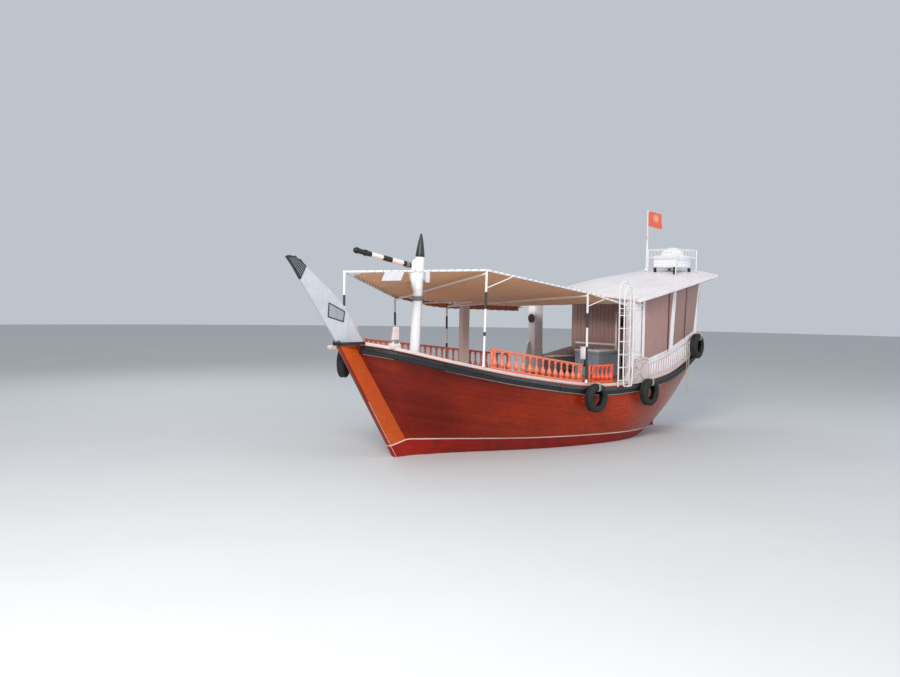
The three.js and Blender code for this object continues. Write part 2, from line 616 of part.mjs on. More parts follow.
const starboardBalustrade = balustrade(STARBOARD, BALUSTRADE_STARBOARD.fore, BALUSTRADE_STARBOARD.aft);

// Boarding gate in the port balustrade. It swings inboard about a pin line aft of its own post.
const GATE_HINGE = { aft: 4150, radius: 13, pin: 120, rows: [1560, 1740], lug: 36, gap: 0.5, post: 54, leaf: 34 };
const GATE_LIFT = 12;
const gateOut = capMiddle(GATE_HINGE.aft);
const hingeLine = (up) => at(GATE_HINGE.aft, gateOut, up);
const gatePost = union([
  box([GATE_HINGE.aft - 18 - GATE_HINGE.post, GATE_HINGE.aft - 18], gateOut - 27, gateOut + 27, capTop(4100) - 20, 1900),
  ...GATE_HINGE.rows.flatMap((up) => [up - GATE_HINGE.lug - GATE_HINGE.gap, up + GATE_HINGE.pin + GATE_HINGE.gap]).map((up) => box(
    [GATE_HINGE.aft - 20, GATE_HINGE.aft + GATE_HINGE.radius], gateOut - 13, gateOut + 13, up, up + GATE_HINGE.lug,
  )),
]);
add('gate_post', seatOn(gatePost, capRails.port), FINISH.orange);
const gateLeaf = balustrade(PORT, GATE.fore, GATE.aft, 145, true).translate([0, 0, GATE_LIFT]);
const gateKnuckles = GATE_HINGE.rows.flatMap((up) => [
  rod(hingeLine(up), hingeLine(up + GATE_HINGE.pin), GATE_HINGE.radius, 14),
  box([GATE_HINGE.aft, GATE.fore + 10], gateOut - 5, gateOut + 5, up, up + GATE_HINGE.pin),
]);
add('boarding_gate', union([gateLeaf, ...gateKnuckles]), FINISH.orange);


// Cabin on the poop. Roof rows are [aft, half width, eave up, crown above the eave].
const ROOF_ROWS = [
  [5590, 1965, 3325, 140], [6300, 1930, 3460, 260], [7100, 1860, 3615, 300],
  [8100, 1760, 3810, 260], [9120, 1650, 4005, 190],
];
const ROOF_THICK = 45;
const ROOF_ACROSS = 8;
const roofUnder = (aft, out) => {
  const [half, eave, crown] = readTable(ROOF_ROWS, aft);
  return eave + crown * (1 - (out / half) ** 2);
};
const roofRing = (aft, grow = 0) => {
  const [half] = readTable(ROOF_ROWS, aft);
  const top = [];
  const under = [];
  for (let k = 0; k <= ROOF_ACROSS; k += 1) {
    const out = lerp(half, -half, k / ROOF_ACROSS);
    const up = roofUnder(aft, out);
    under.push(at(aft, out, up - grow));
    top.push(at(aft, out, up + ROOF_THICK));
  }
  return [...under, ...top.reverse()];
};
const roof = loft(ROOF_ROWS.map(([aft]) => roofRing(aft)));

// Pillars at the cabin's open front and the arched beam between them.
const POOP_FLOOR = POOP.up + PLANKING + 1;
const PILLAR = { fore: 5610, aft: 5930, thick: 260, inset: 5 };
const pillarOut = sheerAt((PILLAR.fore + PILLAR.aft) / 2)[0] - PILLAR.inset;
const pillars = {};
for (const [name, side] of SIDES) {
  const [low, high] = [side * (pillarOut - PILLAR.thick), side * pillarOut].sort((p, q) => p - q);
  pillars[name] = seatUnder(box([PILLAR.fore, PILLAR.aft], low, high, POOP_FLOOR, 3600), roof);
}
const BEAM = { fore: 5740, aft: 5860, deep: 190 };
const beamRing = (aft) => {
  const half = pillarOut - PILLAR.thick - GAP;
  const across = Array.from({ length: ROOF_ACROSS + 1 }, (_, k) => lerp(half, -half, k / ROOF_ACROSS));
  const upper = across.map((out) => at(aft, out, roofUnder(5800, out) + 20));
  const lower = across.map((out) => at(aft, out, roofUnder(5800, out) - BEAM.deep)).reverse();
  return [...upper, ...lower];
};
const frontBeam = seatUnder(loft([beamRing(BEAM.fore), beamRing(BEAM.aft)]), roof);

// Poop bulwarks above the sheer, and the cabin's side walls on top of them, with a raked aft edge.
const BULWARK_TOP = [[5940, 1850], [7030, 2080], [8340, 2450], [8830, 2600]];
const BULWARK = { fore: 5940, aft: 8790, thick: 62 };
const bulwarkTop = (aft) => readTable(BULWARK_TOP, aft)[0];
const WALL = { port: 5940, starboard: 7160, aft: 8790, thick: 44, inset: 8, rakeFrom: 8000, rake: 205 };
const wallHead = (here) => roofUnder(here, sheerAt(here)[0] - WALL.inset) + 30;
const headAft = (here) => WALL.rake * Math.max(0, (here - WALL.rakeFrom) / (WALL.aft - WALL.rakeFrom));
const WALL_BREAKS = [7030, WALL.starboard, WALL.rakeFrom, 8340];
const bulwarks = {};
const walls = {};
for (const [name, side] of SIDES) {
  const rings = ringsBetween(BULWARK.fore, BULWARK.aft, WALL_BREAKS);
  bulwarks[name] = wallAlong(side, rings, 0, BULWARK.thick, (here) => sheerAt(here)[1] + GAP, bulwarkTop);
  const wallRings = rings.filter((here) => here >= WALL[name]);
  const wall = wallAlong(side, wallRings, WALL.inset, WALL.thick, (here) => bulwarkTop(here) + GAP, wallHead, headAft);
  walls[name] = seatUnder(wall, roof);
}

// Stern wall, raked with the transom, with a row of openings.
const STERN = { foot: 8790, head: 9000, footUp: 2030, headUp: 4250, thick: 50, half: 1170 };
const STERN_WINDOWS = { out: [-620, 0, 620], half: 190, low: 2850, high: 3350 };
const sternPlate = loft([STERN.half, -STERN.half].map((out) => [
  at(STERN.foot - STERN.thick, out, STERN.footUp), at(STERN.foot, out, STERN.footUp),
  at(STERN.head, out, STERN.headUp), at(STERN.head - STERN.thick, out, STERN.headUp),
]));
const sternHoles = union(STERN_WINDOWS.out.map((out) => box(
  [STERN.foot - 200, STERN.head + 200], out - STERN_WINDOWS.half, out + STERN_WINDOWS.half, STERN_WINDOWS.low, STERN_WINDOWS.high,
)));
const sternWall = seatUnder(seatOn(sternPlate.subtract(sternHoles), hull), roof);

// Bulkhead across the poop, with a doorway, and a door that opens into the cabin.
const BULKHEAD = { fore: 7100, thick: 50, shoulder: 1600, top: 4050 };
const DOORWAY = { low: 1470, high: 3000, from: 40, to: 640 };
const bulkheadFoot = hullOut(BULKHEAD.fore + BULKHEAD.thick, POOP_FLOOR) - POOP.wall - 20;
const bulkheadOut = sheerAt(BULKHEAD.fore + BULKHEAD.thick)[0] - POOP.wall - 12;
const bulkheadPlate = loft([BULKHEAD.fore, BULKHEAD.fore + BULKHEAD.thick].map((aft) => [
  at(aft, bulkheadFoot, POOP_FLOOR), at(aft, bulkheadOut, BULKHEAD.shoulder), at(aft, bulkheadOut, BULKHEAD.top),
  at(aft, -bulkheadOut, BULKHEAD.top), at(aft, -bulkheadOut, BULKHEAD.shoulder), at(aft, -bulkheadFoot, POOP_FLOOR),
]));
const doorHole = box([BULKHEAD.fore - 100, BULKHEAD.fore + 200], DOORWAY.from, DOORWAY.to, DOORWAY.low, DOORWAY.high);
const bulkhead = seatUnder(bulkheadPlate.subtract(doorHole), roof);

const DOOR_AXIS = { aft: BULKHEAD.fore + BULKHEAD.thick + 34, out: DOORWAY.from + 4 };
const DOOR = { thick: 34, gap: 6, leafStart: 20, wide: DOORWAY.to - DOORWAY.from - 12 };
const KNUCKLE = { high: 120, radius: 13, rows: [1750, 2700], lug: 50, gap: 0.5 };
const doorLeaf = box(
  [DOOR_AXIS.aft - DOOR.thick / 2, DOOR_AXIS.aft + DOOR.thick / 2],
  DOOR_AXIS.out + DOOR.leafStart, DOOR_AXIS.out + DOOR.wide, DOORWAY.low + DOOR.gap, DOORWAY.high - DOOR.gap,
);
const doorKnuckles = KNUCKLE.rows.flatMap((up) => [
  rod(at(DOOR_AXIS.aft, DOOR_AXIS.out, up), at(DOOR_AXIS.aft, DOOR_AXIS.out, up + KNUCKLE.high), KNUCKLE.radius, 14),
  box([DOOR_AXIS.aft - 5, DOOR_AXIS.aft + 5], DOOR_AXIS.out, DOOR_AXIS.out + DOOR.leafStart + 2, up, up + KNUCKLE.high),
]);
// The door stands open, turned a right angle into the cabin about its own hinge line.
const DOOR_OPEN = 90;
const door = union([doorLeaf, ...doorKnuckles])
  .translate([DOOR_AXIS.aft - STEM_X, -DOOR_AXIS.out, 0])
  .rotate([0, 0, DOOR_OPEN])
  .translate([STEM_X - DOOR_AXIS.aft, DOOR_AXIS.out, 0]);
const doorLugs = KNUCKLE.rows.flatMap((up) => [up - KNUCKLE.lug - KNUCKLE.gap, up + KNUCKLE.high + KNUCKLE.gap]).map((up) => box(
  [BULKHEAD.fore + BULKHEAD.thick - 6, DOOR_AXIS.aft + KNUCKLE.radius],
  DOOR_AXIS.out - KNUCKLE.radius, DOOR_AXIS.out + KNUCKLE.radius, up, up + KNUCKLE.lug,
));

add('roof', roof, FINISH.white);
add('front_beam', frontBeam, FINISH.white);
for (const [name] of SIDES) {
  add(`pillar_${name}`, pillars[name], FINISH.white);
  add(`poop_bulwark_${name}`, bulwarks[name], FINISH.rose);
  add(`side_wall_${name}`, walls[name], FINISH.panel);
}
add('stern_wall', sternWall, FINISH.panel);
add('cabin_bulkhead', union([bulkhead, ...doorLugs]), FINISH.panel);
add('cabin_door', door, FINISH.panel);

// Steering wheel on a box against the bulkhead, on the port side.
const HELM = { out: 1020, up: 2150, wheelAft: 6700, radius: 250, boxFore: 6790 };
const helmBox = box([HELM.boxFore, BULKHEAD.fore - GAP], HELM.out - 190, HELM.out + 190, POOP_FLOOR, 2420);
const helmPin = rod(at(HELM.boxFore + 10, HELM.out, HELM.up), at(HELM.wheelAft - 26, HELM.out, HELM.up), 22, 16);
add('helm_box', helmBox.add(helmPin), FINISH.white);
const wheelRing = turned([
  [HELM.radius - 17, 6], [HELM.radius, 0], [HELM.radius + 17, 6],
  [HELM.radius + 17, 28], [HELM.radius, 34], [HELM.radius - 17, 28], [HELM.radius - 17, 6],
], 16);
const wheelHub = turned([[0, -14], [52, -14], [52, 44], [0, 44]], 16).subtract(turned([[0, -20], [22.8, -20], [22.8, 50], [0, 50]], 16));
const SPOKES = 6;
const wheelSpokes = Array.from({ length: SPOKES }, (_, i) => {
  const angle = (2 * Math.PI * i) / SPOKES;
  const reach = HELM.radius + 95;
  const from = new THREE.Vector3(Math.cos(angle) * 40, Math.sin(angle) * 40, 17);
  return rod(from, new THREE.Vector3(Math.cos(angle) * reach, Math.sin(angle) * reach, 17), 13, 6);
});
const wheelFlat = union([wheelRing, wheelHub, ...wheelSpokes]);
const steeringWheel = wheelFlat.rotate([0, 90, 0]).translate([STEM_X - HELM.wheelAft - 17, HELM.out, HELM.up]);
add('steering_wheel', steeringWheel, FINISH.orange);

// Engine under the poop, its casing over the hatchway and the hinged lid of the casing.
const ENGINE = { fore: 6060, aft: 6740, half: 300, low: ENGINE_PIT.low + GAP, high: 900 };
add('engine', box([ENGINE.fore, ENGINE.aft], -ENGINE.half, ENGINE.half, ENGINE.low, ENGINE.high), FINISH.grey);
const CASING = { fore: 5985, aft: 6815, half: 400, top: 2060, wall: 40 };
const casingOuter = box([CASING.fore, CASING.aft], -CASING.half, CASING.half, POOP_FLOOR, CASING.top);
const casingInner = box(
  [CASING.fore + CASING.wall, CASING.aft - CASING.wall],
  CASING.wall - CASING.half, CASING.half - CASING.wall, POOP_FLOOR - 20, CASING.top + 20,
);
const LID = { thick: 36, overhang: 20, knuckle: 14, half: 150, lug: 60 };
const LID_AXIS = { aft: CASING.aft + 16, up: CASING.top + 22 };
const lidPlate = box(
  [CASING.fore - LID.overhang, CASING.aft - 12], -CASING.half - LID.overhang, CASING.half + LID.overhang,
  CASING.top + GAP, CASING.top + LID.thick,
);
const lidKnuckle = rod(at(LID_AXIS.aft, -LID.half, LID_AXIS.up), at(LID_AXIS.aft, LID.half, LID_AXIS.up), LID.knuckle, 14);
const lidLeaf = box([CASING.aft - 14, LID_AXIS.aft], -LID.half, LID.half, LID_AXIS.up - 4, LID_AXIS.up + 8);
const lidLugs = [-LID.half - LID.lug - 0.5, LID.half + 0.5].map((out) =>
  box([CASING.aft - 4, LID_AXIS.aft + LID.knuckle], out, out + LID.lug, CASING.top - 90, LID_AXIS.up + LID.knuckle));
add('engine_casing', union([casingOuter.subtract(casingInner), ...lidLugs]), FINISH.grey);
add('engine_hatch', union([lidPlate, lidKnuckle, lidLeaf]), FINISH.white);

// Rudder and propeller.
const rudderOutline = [
  [0, RUDDER.low], [0, RUDDER.high], [-RUDDER.head, RUDDER.high], [-RUDDER.head - 40, 900],
  [-RUDDER.chord * 0.7, 300], [-RUDDER.chord, -200], [-RUDDER.chord, -600], [-RUDDER.chord * 0.82, RUDDER.low],
];
const stock = turned([[0, RUDDER.low], [STOCK_RADIUS, RUDDER.low], [STOCK_RADIUS, RUDDER.high], [0, RUDDER.high]], 16);
// Each notch leaves the rudder resting 0.4 mm above its lug.
const NOTCH = { reach: 46, above: 0.4, below: 7 };
let rudderLocal = rudderPlate(rudderOutline, RUDDER.thick).add(stock);
for (const height of LUGS) {
  const notch = new THREE.BoxGeometry(2 * NOTCH.reach, 4 * STOCK_RADIUS, LUG.high + NOTCH.above + NOTCH.below);
  notch.translate(0, 0, height + (LUG.high + NOTCH.above - NOTCH.below) / 2);
  rudderLocal = rudderLocal.subtract(solid(notch));
}
const pins = union(LUGS.map((height) => pintle(PINTLE.radius, height)));
add('rudder', placeRudder(largest(rudderLocal.add(pins))), FINISH.backbone);

const PROPELLER = { aft: 7370, radius: 255, hub: 58, half: 75, blades: 3, pitch: 32 };
const propellerHub = rod(at(PROPELLER.aft + PROPELLER.half, 0, SHAFT.up), at(PROPELLER.aft - PROPELLER.half, 0, SHAFT.up), PROPELLER.hub * 0.7, 14, PROPELLER.hub);
const shaft = rod(at(PROPELLER.aft, 0, SHAFT.up), at(APERTURE.fore - SHAFT.depth + 5, 0, SHAFT.up), SHAFT.radius, SHAFT.sides);
const bladeShape = new THREE.Shape();
bladeShape.moveTo(-30, 30);
bladeShape.lineTo(-95, 120);
bladeShape.lineTo(-88, 200);
bladeShape.lineTo(-30, PROPELLER.radius);
bladeShape.lineTo(40, PROPELLER.radius - 4);
bladeShape.lineTo(92, 190);
bladeShape.lineTo(90, 110);
bladeShape.lineTo(30, 30);
const blade = new THREE.ExtrudeGeometry(bladeShape, { depth: 14, bevelEnabled: false });
blade.translate(0, 0, -7);
blade.rotateY(Math.PI / 2 - THREE.MathUtils.degToRad(PROPELLER.pitch));
const blades = Array.from({ length: PROPELLER.blades }, (_, i) =>
  solid(blade).rotate([(360 * i) / PROPELLER.blades, 0, 0]).translate([STEM_X - PROPELLER.aft, 0, SHAFT.up]));
add('propeller', union([propellerHub, shaft, ...blades]), FINISH.bronze);

// Starboard boxed post beside the waist, and the scrolled brackets forward of the pillars.
const BOX_POST = { aft: 3130, half: 105, thick: 140, out: -1440, top: 3215 };
const boxPost = box(
  [BOX_POST.aft - BOX_POST.half, BOX_POST.aft + BOX_POST.half],
  BOX_POST.out - BOX_POST.thick / 2, BOX_POST.out + BOX_POST.thick / 2, WELL.up + PLANKING + 1, BOX_POST.top,
);
add('boxed_post_starboard', boxPost, FINISH.rose);
add('balustrade_starboard', seatOn(starboardBalustrade, capRails.starboard), FINISH.orange);

const WING_OUTLINE = [
  [5430, 1440], [5430, 1560], [5475, 1700], [5480, 1900], [5530, 2120], [5609, 2260], [5609, 1440],
];
for (const [name, side] of SIDES) {
  const wing = plate(WING_OUTLINE, 60, side * (capMiddle(5400) - 10));
  add(`wing_bracket_${name}`, seatOn(wing, capRails[name]), FINISH.white);
}

// Boarding ladder of white pipe, stowed upright on the port rail.
const LADDER = { fore: 5010, aft: 5400, high: 3780, radius: 18, rungs: 6, pitch: 300 };
const ladderOut = sheerAt(5200)[0] + 38;
const ladderFoot = sheerAt(LADDER.fore)[1] - 22;
const ladderFrame = bentPipe([
  at(LADDER.fore, ladderOut, ladderFoot), at(LADDER.fore, ladderOut, ladderFoot + 1000),
  at(LADDER.fore, ladderOut, LADDER.high - 200), at(LADDER.fore + 70, ladderOut, LADDER.high - 40),
  at((LADDER.fore + LADDER.aft) / 2, ladderOut, LADDER.high),
  at(LADDER.aft - 70, ladderOut, LADDER.high - 40), at(LADDER.aft, ladderOut, LADDER.high - 200),
  at(LADDER.aft, ladderOut, ladderFoot + 1000), at(LADDER.aft, ladderOut, ladderFoot),
], LADDER.radius, 6, 28, 0.3);
const rungs = Array.from({ length: LADDER.rungs }, (_, i) => {
  const up = ladderFoot + 140 + i * LADDER.pitch;
  return rod(at(LADDER.fore, ladderOut, up), at(LADDER.aft, ladderOut, up), 14, 6);
});
add('boarding_ladder', seatOn(union([ladderFrame, ...rungs]), rubRails.port), FINISH.white);

// On the roof: water tank in a pipe rack, flagpole and flag.
const TANK = { fore: 8130, aft: 8830, outLow: 330, outHigh: 1030, high: 330, dome: 200 };
const tankFloor = roofUnder(8830, 500) + ROOF_THICK + 30;
const tankBox = box([TANK.fore, TANK.aft], TANK.outLow, TANK.outHigh, tankFloor, tankFloor + TANK.high);
const dome = moved(turned([[0, 0], [300, 0], [285, 60], [230, 140], [120, 190], [0, TANK.dome]], 16),
  (TANK.fore + TANK.aft) / 2, (TANK.outLow + TANK.outHigh) / 2, tankFloor + TANK.high - 2);
const tankFeet = union([[TANK.fore + 60, TANK.outLow + 60], [TANK.aft - 60, TANK.outLow + 60], [TANK.fore + 60, TANK.outHigh - 60], [TANK.aft - 60, TANK.outHigh - 60]]
  .map(([aft, out]) => box([aft - 40, aft + 40], out - 40, out + 40, roofUnder(aft, out), tankFloor + 10)));
add('roof_tank', seatOn(union([tankBox, dome, tankFeet]), roof), FINISH.white);
const RACK = { grow: 90, radius: 15, high: 480 };
const rackCorners = [
  [TANK.fore - RACK.grow, TANK.outLow - RACK.grow], [TANK.aft + RACK.grow, TANK.outLow - RACK.grow],
  [TANK.aft + RACK.grow, TANK.outHigh + RACK.grow], [TANK.fore - RACK.grow, TANK.outHigh + RACK.grow],
];
const rackTop = tankFloor + RACK.high;
const rackPosts = rackCorners.map(([aft, out]) => rod(at(aft, out, roofUnder(aft, out) + 10), at(aft, out, rackTop), RACK.radius, 6));
const rackRails = [0, 0.5].flatMap((drop) => rackCorners.map(([aft, out], i) => {
  const [nextAft, nextOut] = rackCorners[(i + 1) % 4];
  const up = rackTop - 8 - drop * 420;
  return rod(at(aft, out, up), at(nextAft, nextOut, up), RACK.radius * 0.8, 6);
}));
add('tank_rack', seatOn(union([...rackPosts, ...rackRails]), roof), FINISH.white);

const FLAGPOLE = { aft: 8300, top: 5760, radius: 26, hoist: 18 };
const pole = rod(at(FLAGPOLE.aft, 0, roofUnder(FLAGPOLE.aft, 0)), at(FLAGPOLE.aft, 0, FLAGPOLE.top), FLAGPOLE.radius, 10, 16);
const poleShoe = moved(turned([[0, 0], [60, 0], [60, 50], [0, 60]], 12), FLAGPOLE.aft, 0, roofUnder(FLAGPOLE.aft, 0) + ROOF_THICK - 20);
add('flagpole', seatOn(pole.add(poleShoe), roof), FINISH.white);
const FLAG = { long: 560, high: 400, thick: 6, top: 5735, steps: 8, wave: 34 };
const flagRings = Array.from({ length: FLAG.steps + 1 }, (_, i) => {
  const f = i / FLAG.steps;
  const aft = FLAGPOLE.aft + FLAGPOLE.hoist + f * FLAG.long;
  const out = FLAG.wave * Math.sin(f * 2 * Math.PI) * f;
  const drop = 40 * f * f;
  return [
    at(aft, out - FLAG.thick / 2, FLAG.top - drop - FLAG.high), at(aft, out + FLAG.thick / 2, FLAG.top - drop - FLAG.high),
    at(aft, out + FLAG.thick / 2, FLAG.top - drop), at(aft, out - FLAG.thick / 2, FLAG.top - drop),
  ];
});
add('flag', loft(flagRings), FINISH.flag);

// Tyre fenders hang against the side. Each row is [name, side, aft, centre below the sheer].
const TYRE = { radius: 320, hole: 170, wide: 190, around: 16 };
const FENDERS = [
  ['port_waist', PORT, 4120, 250], ['port_poop', PORT, 6050, 240], ['port_quarter', PORT, 8500, -260],
  ['starboard_bow', STARBOARD, -620, 330], ['starboard_waist', STARBOARD, 3000, 250], ['starboard_poop', STARBOARD, 6050, 240],
];
const tyreProfile = [
  [TYRE.hole, 40], [TYRE.hole + 40, 8], [TYRE.radius - 60, 0], [TYRE.radius, 35], [TYRE.radius, TYRE.wide - 35],
  [TYRE.radius - 60, TYRE.wide], [TYRE.hole + 40, TYRE.wide - 8], [TYRE.hole, TYRE.wide - 40], [TYRE.hole, 40],
];

// Moves a piece that stands clear of the boat's side inboard until it all but touches it.
const SEAT = { search: 200, tries: 4, gap: 0.5 };
function restAgainst(piece, across, carriers) {
  let seated = piece;
  for (let i = 0; i < SEAT.tries; i += 1) {
    const clearance = seated.minGap(carriers, SEAT.search) - SEAT.gap;
    seated = seated.translate([-across.x * clearance, -across.y * clearance, 0]);
  }
  return seated;
}

for (const [name, side, aft, below] of FENDERS) {
  const [out, up] = sheerAt(aft);
  const across = outward(aft, side);
  const turn = new THREE.Quaternion().setFromUnitVectors(new THREE.Vector3(0, 0, 1), across);
  const geometry = new THREE.LatheGeometry(tyreProfile.map(([r, z]) => new THREE.Vector2(r, z)), TYRE.around);
  geometry.rotateX(Math.PI / 2);
  geometry.applyQuaternion(turn);
  const start = at(aft, side * out, up - below).addScaledVector(across, RUB_RAIL.out + 40);
  geometry.translate(start.x, start.y, start.z);
  const sideName = side === PORT ? 'port' : 'starboard';
  const carriers = rubRails[sideName].add(bulwarks[sideName]);
  add(`tyre_${name}`, restAgainst(solid(geometry), across, carriers), FINISH.tyre);
}

// A rope hangs in a bight at the port quarter, over the rub rail and down beside the hull.
const ROPE = { radius: 10, foreEnd: 8000, aftEnd: 8140, rise: 470, away: 96, fall: 760, sides: 8, steps: 48 };
const ropeAcross = outward((ROPE.foreEnd + ROPE.aftEnd) / 2, PORT);
function ropePoint(aft, away, rise) {
  const [out, up] = sheerAt(aft);
  return at(aft, out, up + rise).addScaledVector(ropeAcross, away);
}
// One half of the bight: [share of the way to its middle, away from the side, share of the fall].
const ROPE_HALF = [[0, 1, 0], [0, 52, -0.004], [0, ROPE.away, 0.05], [0.1, ROPE.away, 0.4], [0.3, ROPE.away, 0.8]];
const ropeHalf = (from, to) => ROPE_HALF.map(([share, away, drop]) =>
  ropePoint(lerp(from, to, share), away, lerp(ROPE.rise, -ROPE.fall, drop)));
const ropeMiddle = (ROPE.foreEnd + ROPE.aftEnd) / 2;
const ropePath = [
  ...ropeHalf(ROPE.foreEnd, ropeMiddle),
  ropePoint(ropeMiddle, ROPE.away, -ROPE.fall),
  ...ropeHalf(ROPE.aftEnd, ropeMiddle).reverse(),
];
add('stern_rope', bentPipe(ropePath, ROPE.radius, ROPE.sides, ROPE.steps), FINISH.rope);

export default part;
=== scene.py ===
"""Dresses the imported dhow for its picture: planking, paint, rope, canvas and the small fittings.

Metres throughout. +X points to the bow, +Y to port and +Z up, and z = 0 is the water.
"aft" is a distance aft of the point where the stem cuts the water, "up" a height above the water
and "out" a distance from the centreline, as in the part's own source.
"""

import math

import bmesh
import bpy
import numpy as np
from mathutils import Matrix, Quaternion, Vector


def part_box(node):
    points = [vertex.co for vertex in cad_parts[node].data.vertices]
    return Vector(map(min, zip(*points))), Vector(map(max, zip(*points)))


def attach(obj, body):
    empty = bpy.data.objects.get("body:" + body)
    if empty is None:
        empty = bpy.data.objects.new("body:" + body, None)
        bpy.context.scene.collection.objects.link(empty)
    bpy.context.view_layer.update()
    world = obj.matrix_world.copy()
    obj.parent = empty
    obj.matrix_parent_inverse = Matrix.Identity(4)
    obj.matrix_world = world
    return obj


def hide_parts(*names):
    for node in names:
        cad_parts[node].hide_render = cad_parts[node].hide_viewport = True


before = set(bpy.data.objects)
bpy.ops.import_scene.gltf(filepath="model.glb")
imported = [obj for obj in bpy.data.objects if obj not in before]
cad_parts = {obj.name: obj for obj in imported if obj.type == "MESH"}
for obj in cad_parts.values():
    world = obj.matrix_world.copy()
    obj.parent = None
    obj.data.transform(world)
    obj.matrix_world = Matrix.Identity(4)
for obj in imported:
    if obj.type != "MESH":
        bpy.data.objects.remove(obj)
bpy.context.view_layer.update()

bl_info = {
    "name": "Passenger dhow",
    "version": (1, 0, 0),
    "blender": (4, 5, 0),
    "location": "3D View > Sidebar > Dhow",
    "description": "Builds the planked hull, rig, awning, cabin and fittings of a wooden passenger dhow",
    "category": "Object",
}

BOAT = "boat"
STEM_X = 3.8
PORT, STARBOARD = 1, -1
SIDES = {"port": PORT, "starboard": STARBOARD}

# Rows of raked stations, as in the part's source:
# keel aft, keel up, sheer aft, sheer up, sheer out, fullness of the side, turn of the bilge.
STATIONS = np.array([
    [0.75, -0.45, -1.08, 2.39, 0.07, 1.0, 1.0],
    [1.25, -0.62, -0.55, 2.27, 0.80, 1.11, 0.8],
    [2.2, -0.68, 0.6, 1.98, 1.42, 1.5, 0.9],
    [3.3, -0.70, 2.2, 1.67, 1.70, 1.9, 1.2],
    [4.6, -0.70, 4.2, 1.41, 1.775, 2.17, 1.6],
    [5.8, -0.62, 5.7, 1.405, 1.755, 2.58, 1.6],
    [6.8, -0.40, 7.1, 1.55, 1.62, 2.4, 1.5],
    [7.5, -0.16, 8.1, 1.81, 1.42, 2.07, 1.4],
    [8.05, 0.05, 8.8, 2.06, 1.24, 1.61, 1.3],
])
KEEL_HALF = 0.07
WELL = {"fore": 0.9, "aft": 5.6, "up": 1.25, "wall": 0.1}
POOP = {"fore": 5.6, "aft": 8.52, "up": 1.4, "wall": 0.09}


# Sizes and colours that a user would change.

def shade(value, share=1.0):
    """A Blender colour, with opacity one, from sRGB parts between 0 and 255, each times a share."""
    parts = [c * share for c in value]
    linear = [((c / 255 + 0.055) / 1.055) ** 2.4 if c > 10 else c / 255 / 12.92 for c in parts]
    return (*linear, 1.0)


def tinted(color, share, lift=0.0):
    """A Blender colour whose parts are multiplied by a share, or by one share each, and lifted."""
    return (*np.minimum(1.0, np.array(color[:3]) * share + lift), 1.0)


def parts_of(color):
    """The sRGB parts between 0 and 255 of a Blender colour."""
    return [255 * (1.055 * c ** (1 / 2.4) - 0.055) if c > 0.0031 else 255 * 12.92 * c for c in color[:3]]


def color_property(name, description, default):
    return bpy.props.FloatVectorProperty(
        name=name, description=description, subtype="COLOR", size=4, min=0.0, max=1.0, default=shade(default))


def length_property(name, description, default):
    return bpy.props.FloatProperty(
        name=name, description=description, unit="LENGTH", subtype="DISTANCE", default=default)


class DhowSizes(bpy.types.PropertyGroup):
    strakes: bpy.props.IntProperty(name="Strakes", description="Planks on each side, from keel to sheer",
                                   default=20)
    seam: length_property("Seam depth", "Depth of the caulked seam between two planks", 0.002)
    scarf: length_property("Rail length", "Length of one scarfed piece of the rub rail", 2.8)
    baluster_gap: length_property("Baluster spacing", "Distance between turned balusters", 0.185)
    canvas_sag: length_property("Canvas sag", "How far the awning hangs between its pipes", 0.05)
    valance: length_property("Valance", "Depth of the cloth edge on the starboard side", 0.12)
    lacing_pitch: length_property("Lacing pitch", "Distance between turns of the awning's lacing", 0.16)
    panel_board: length_property("Panel board", "Width of a board in the cabin's walls", 0.14)
    tread_blocks: bpy.props.IntProperty(name="Tread blocks", description="Blocks round a fender tyre",
                                        default=36)
    flag_ripple: length_property("Flag ripple", "Depth of the flag's folds", 0.034)


class DhowColors(bpy.types.PropertyGroup):
    # Both varnishes also carry painted light: the side goes towards the dark one at the bow as painted shade
    # and towards the light one aft as painted sunlight.
    varnish: color_property("Light varnish", "Palest planks of the side", (182, 54, 11))
    varnish_dark: color_property("Dark varnish", "Darkest planks of the side", (106, 15, 3))
    bottom: color_property("Bottom paint", "Paint below the waterline", (154, 28, 16))
    boot_line: color_property("Boot-top line", "Narrow line above the bottom paint", (226, 212, 204))
    rail_black: color_property("Rub rail", "Paint of the rub rail", (17, 23, 25))
    rose: color_property("Rose white", "Cap rails, bollards and bulwarks", (214, 196, 192))
    white: color_property("White", "Mast, pillars and roof", (236, 230, 232))
    orange: color_property("Balustrade", "Turned balusters and their rails", (226, 118, 88))
    # The gate's colour is the balustrade's orange drawn redder as painted sunlight.
    gate: color_property("Gate", "Boarding gate", (226, 88, 52))
    panel: color_property("Cabin panels", "Boarding of the cabin's walls", (166, 130, 122))
    # The canvas colour is its tan brightened as painted light, for sunlight shining through the cloth.
    canvas: color_property("Canvas", "Awning cloth", (244, 184, 132))
    flag: color_property("Flag", "Flag cloth", (226, 96, 70))
    rubber: color_property("Fenders", "Tyre rubber", (22, 24, 24))


def sizes():
    return bpy.context.scene.dhow_sizes


def hue(color):
    """A colour as sRGB parts. A name stands for one of the panel's colours."""
    return parts_of(getattr(bpy.context.scene.dhow_colors, color)) if isinstance(color, str) else color


# Small tools for arrays of points.

def at(aft, out, up):
    """Points from distances aft, out and up, spread over whatever shapes the three have."""
    aft, out, up = np.broadcast_arrays(*(np.asarray(v, float) for v in (aft, out, up)))
    return np.stack([STEM_X - aft, out, up], -1)


def lerp(a, b, share):
    """The point that lies the given share of the way from a to b."""
    return a + (b - a) * share


def unit(vectors):
    """The same vectors at length one."""
    return vectors / np.maximum(np.linalg.norm(vectors, axis=-1, keepdims=True), 1e-12)


def smooth_steps(low, high, value):
    """0 below low, 1 above high and a smooth cubic between them."""
    t = np.clip((value - low) / (high - low), 0, 1)
    return t * t * (3 - 2 * t)


